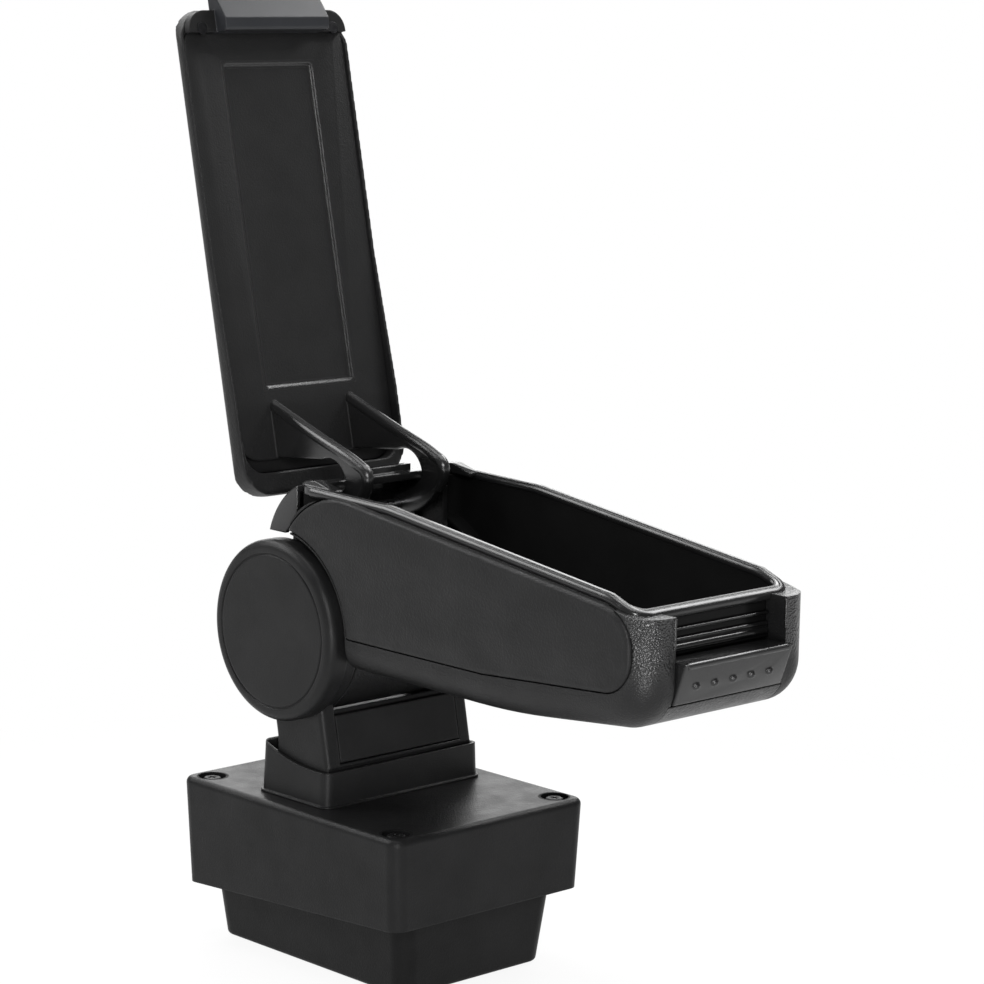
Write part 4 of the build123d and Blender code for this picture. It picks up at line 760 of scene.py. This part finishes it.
# %% Hinge arm beads
bead_steps = 5
path_steps = 10
arm_edge = (
    (0.0572, 0.0303),
    (0.0387, -0.0004),
    (0.0206, -0.0306),
    (0.0168, -0.0346),
    (0.0118, -0.0342),
    (0.0045, -0.0285),
)
arm_bead = 0.0031
arm_spread = 0.025


def round_bead(name, points, radius, body, finish):
    """A smooth rod through the points, with the given finish, on the given body."""
    path = bpy.data.curves.new(name, "CURVE")
    path.dimensions = "3D"
    path.bevel_depth = radius
    path.bevel_resolution = bead_steps
    path.use_fill_caps = True
    path.resolution_u = path_steps
    line = path.splines.new("BEZIER")
    line.bezier_points.add(len(points) - 1)
    for knot, point in zip(line.bezier_points, points):
        knot.co = point
        knot.handle_left_type = "AUTO"
        knot.handle_right_type = "AUTO"
    scene_object(name, path)
    bpy.ops.object.convert(target="MESH")
    bead = bpy.context.object
    bpy.ops.object.shade_smooth()
    bead.data.materials.append(finish)
    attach(bead, body)
    print(bead.name, "faces:", len(bead.data.polygons))


def on_lid(across, reach, level):
    """A point of the lid, from how far it is along the lid and out of it."""
    return (
        across,
        lid_pin[0] + reach * lid_along[0] + level * lid_out[0],
        lid_pin[1] + reach * lid_along[1] + level * lid_out[1],
    )


for bead_name, across in (("hinge_bead_left", -arm_spread), ("hinge_bead_right", arm_spread)):
    arm_points = [on_lid(across, reach, level) for reach, level in arm_edge]
    round_bead(bead_name, arm_points, arm_bead, "lid", panel_finish)

# %% [markdown]
# The button's top edge is a round lip that stops a little short of the button's sides. It is straight,
# so two points are enough.

# %% Button lip
button_half = 0.0352
lip_radius = 0.0016
lip_inset = 0.0024
lip_proud = 0.0003
button_low, button_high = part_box("release_button")
lip_y = button_low.y + lip_radius
lip_z = button_high.z - lip_radius + lip_proud


def crosswise(half, y, z):
    """The two ends of a level rod across the arm."""
    return [(-half, y, z), (half, y, z)]


lip_ends = crosswise(button_half - lip_inset, lip_y, lip_z)
round_bead("button_lip", lip_ends, lip_radius, "button", black_satin)

# %% [markdown]
# The rim of the box is rolled. Its bead goes down one side, round the front corners and back up the
# other side. Where a run has to stay straight up to a bend, two points close together hold it.

# %% Rolled rim
rim_profile = ((0.008, 0.241), rim_knee, (-0.205, 0.2204), (-0.2226, 0.2136))
rim_radius = 0.0027
rim_sink = 0.0025
rim_front = -0.2207
rim_bend = 0.0071
rim_hold = 0.004
rim_diagonal = rim_bend * (1 - math.sqrt(0.5))
rear_stops = (-0.002, -0.006, -0.052, -0.056)
middle_stops = (-0.06, -0.064, -0.199, -0.203)
front_stops = (-0.207, -0.2105, rim_front + rim_bend)


def rim_height(y):
    """The height of the bead's middle at a place along the rim."""
    for (rear_y, rear_z), (front_y, front_z) in zip(rim_profile, rim_profile[1:]):
        if y >= front_y:
            return front_z + (rear_z - front_z) * (y - front_y) / (rear_y - front_y) - rim_sink


rim_plan = [(rim_middle, y) for y in rear_stops + middle_stops + front_stops]
rim_plan.append((rim_middle - rim_diagonal, rim_front + rim_diagonal))
rim_plan.append((rim_middle - rim_bend, rim_front))
rim_plan.append((rim_middle - rim_bend - rim_hold, rim_front))
rim_side = [(x, y, rim_height(y)) for x, y in rim_plan]
rim_points = rim_side + [(-x, y, z) for x, y, z in reversed(rim_side)]
round_bead("rim_bead", rim_points, rim_radius, "arm", black_satin)

# %% [markdown]
# The catch plate behind the button shows three bright lines: a rib, the edge of a slot and a broad
# roll. The front posts have a thin round edge on the side of the recess. Each is a short straight rod.

# %% Catch plate and posts
catch_half = 0.0354
catch_beads = {
    "catch_rib": {"y": -0.2218, "z": 0.204, "radius": 0.0008},
    "catch_edge": {"y": -0.2213, "z": 0.1991, "radius": 0.0011},
    "catch_roll": {"y": -0.2206, "z": 0.1955, "radius": 0.0022},
}
for bead_name, bead in catch_beads.items():
    ends = crosswise(catch_half, bead["y"], bead["z"])
    round_bead(bead_name, ends, bead["radius"], "arm", bead_gloss)

post_x = 0.0365
post_y = -0.232
post_heights = (0.198, 0.2118)
post_radius = 0.0008
for bead_name, across in (("post_bead_left", -post_x), ("post_bead_right", post_x)):
    ends = [(across, post_y, z) for z in post_heights]
    round_bead(bead_name, ends, post_radius, "arm", bead_gloss)

# %% [markdown]
# ## Padded pieces
# The lid's cushion and the two cheeks are foam under vinyl. Each starts as a merged copy of its solid,
# remeshed into even small quads. A coarse copy is then blown up as cloth: its hidden back is held, and
# pressure lets the face swell. The fine skin follows the coarse form through a surface deform, so it
# keeps its turned-in edge. This gives a real pad's tension for the cost of a small simulation. The
# coarse form is smoothed a little first, because the deform refuses some of the faces that the remesh
# leaves.

# %% Helpers for padded pieces
smooth_factor = 0.5


def even_mesh(piece, voxel):
    """Remeshes a piece into even quads."""
    only(piece)
    remesh = piece.modifiers.new("even", "REMESH")
    remesh.mode = "VOXEL"
    remesh.voxel_size = voxel
    remesh.use_smooth_shade = True
    bpy.ops.object.modifier_apply(modifier=remesh.name)


def relax(piece, rounds, is_soft=None):
    """Takes the stair steps of the remesh out of the skin, or rounds off only its soft part."""
    only(piece)
    smooth = piece.modifiers.new("relax", "SMOOTH")
    smooth.factor = smooth_factor
    smooth.iterations = rounds
    if is_soft:
        soft = piece.vertex_groups.new(name="soft")
        soft.add([v.index for v in piece.data.vertices if is_soft(v.co)], 1.0, "REPLACE")
        smooth.vertex_group = soft.name
    bpy.ops.object.modifier_apply(modifier=smooth.name)


def dress_pad(pad, node_name, body):
    """Gives a pad its vinyl and its body, and hides the node that it stands for."""
    pad.data.materials.clear()
    pad.data.materials.append(vinyl)
    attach(pad, body)
    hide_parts(node_name)
    print(pad.name, "faces:", len(pad.data.polygons))


print("pad helpers are ready")

# %% Swelling
swell_steps = 20
swell_pressure = 4
form_rounds = 2


def swell(piece, node_name, is_held, voxel, cap):
    """Blows up a coarse copy of the solid as cloth, and takes the fine piece along, up to the cap."""
    form = merged_copy(node_name, piece.name + "_form")
    even_mesh(form, voxel)
    relax(form, form_rounds)
    held = form.vertex_groups.new(name="held")
    held.add([v.index for v in form.data.vertices if is_held(v.co)], 1.0, "REPLACE")
    cloth = form.modifiers.new("swell", "CLOTH")
    cloth.settings.use_pressure = True
    cloth.settings.uniform_pressure_force = swell_pressure
    cloth.settings.effector_weights.gravity = 0
    cloth.settings.vertex_group_mass = held.name
    cloth.point_cache.frame_start = 1
    cloth.point_cache.frame_end = swell_steps
    scene.frame_set(1)
    before = [v.co.copy() for v in piece.data.vertices]
    follow = piece.modifiers.new("follow", "SURFACE_DEFORM")
    follow.target = form
    only(piece)
    bpy.ops.object.surfacedeform_bind(modifier=follow.name)
    for step in range(1, swell_steps + 1):
        scene.frame_set(step)
    bpy.ops.object.modifier_apply(modifier=follow.name)
    farthest = 0
    for vertex, start in zip(piece.data.vertices, before):
        move = vertex.co - start
        farthest = max(farthest, move.length)
        if move.length > cap:
            vertex.co = start + move * (cap / move.length)
    bpy.data.objects.remove(form)
    scene.frame_set(1)
    print(piece.name, "swelled by", round(farthest * 1000, 2), "mm, kept to", cap * 1000)


print("swelling steps:", swell_steps)

# %% [markdown]
# The lid's cushion is held below its crown. After the swelling, its top is smoothed many times over, so
# that the coarse form doesn't show in the highlight.

# %% Lid cushion
crown_from = 0.036
crown_rounds = 240
skin_rounds = 2


def lid_level(point):
    """How far a point stands out of the lid's hinge line, towards the cushion's top."""
    return (point.y - lid_pin[0]) * lid_out[0] + (point.z - lid_pin[1]) * lid_out[1]


lid_pad = merged_copy("lid_cushion", "lid_pad")
even_mesh(lid_pad, voxel=0.0011)
swell(lid_pad, "lid_cushion", lambda spot: lid_level(spot) < crown_from, voxel=0.005, cap=0.004)
relax(lid_pad, skin_rounds)
relax(lid_pad, crown_rounds, lambda spot: lid_level(spot) > crown_from)
dress_pad(lid_pad, "lid_cushion", "lid")

# %% [markdown]
# The cheeks are thin pads in the sides of the arm. Only the outer skin may swell, and it rises about a
# millimetre.

# %% Cheeks
cheek_skin = 0.0006
cheek_rounds = 3
cheek_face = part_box("cheek_right")[1].x - cheek_skin
for cheek in ("cheek_left", "cheek_right"):
    pad = merged_copy(cheek, cheek + "_pad")
    even_mesh(pad, voxel=0.0009)
    swell(pad, cheek, lambda spot: abs(spot.x) < cheek_face, voxel=0.0018, cap=0.0011)
    relax(pad, cheek_rounds)
    dress_pad(pad, cheek, "arm")
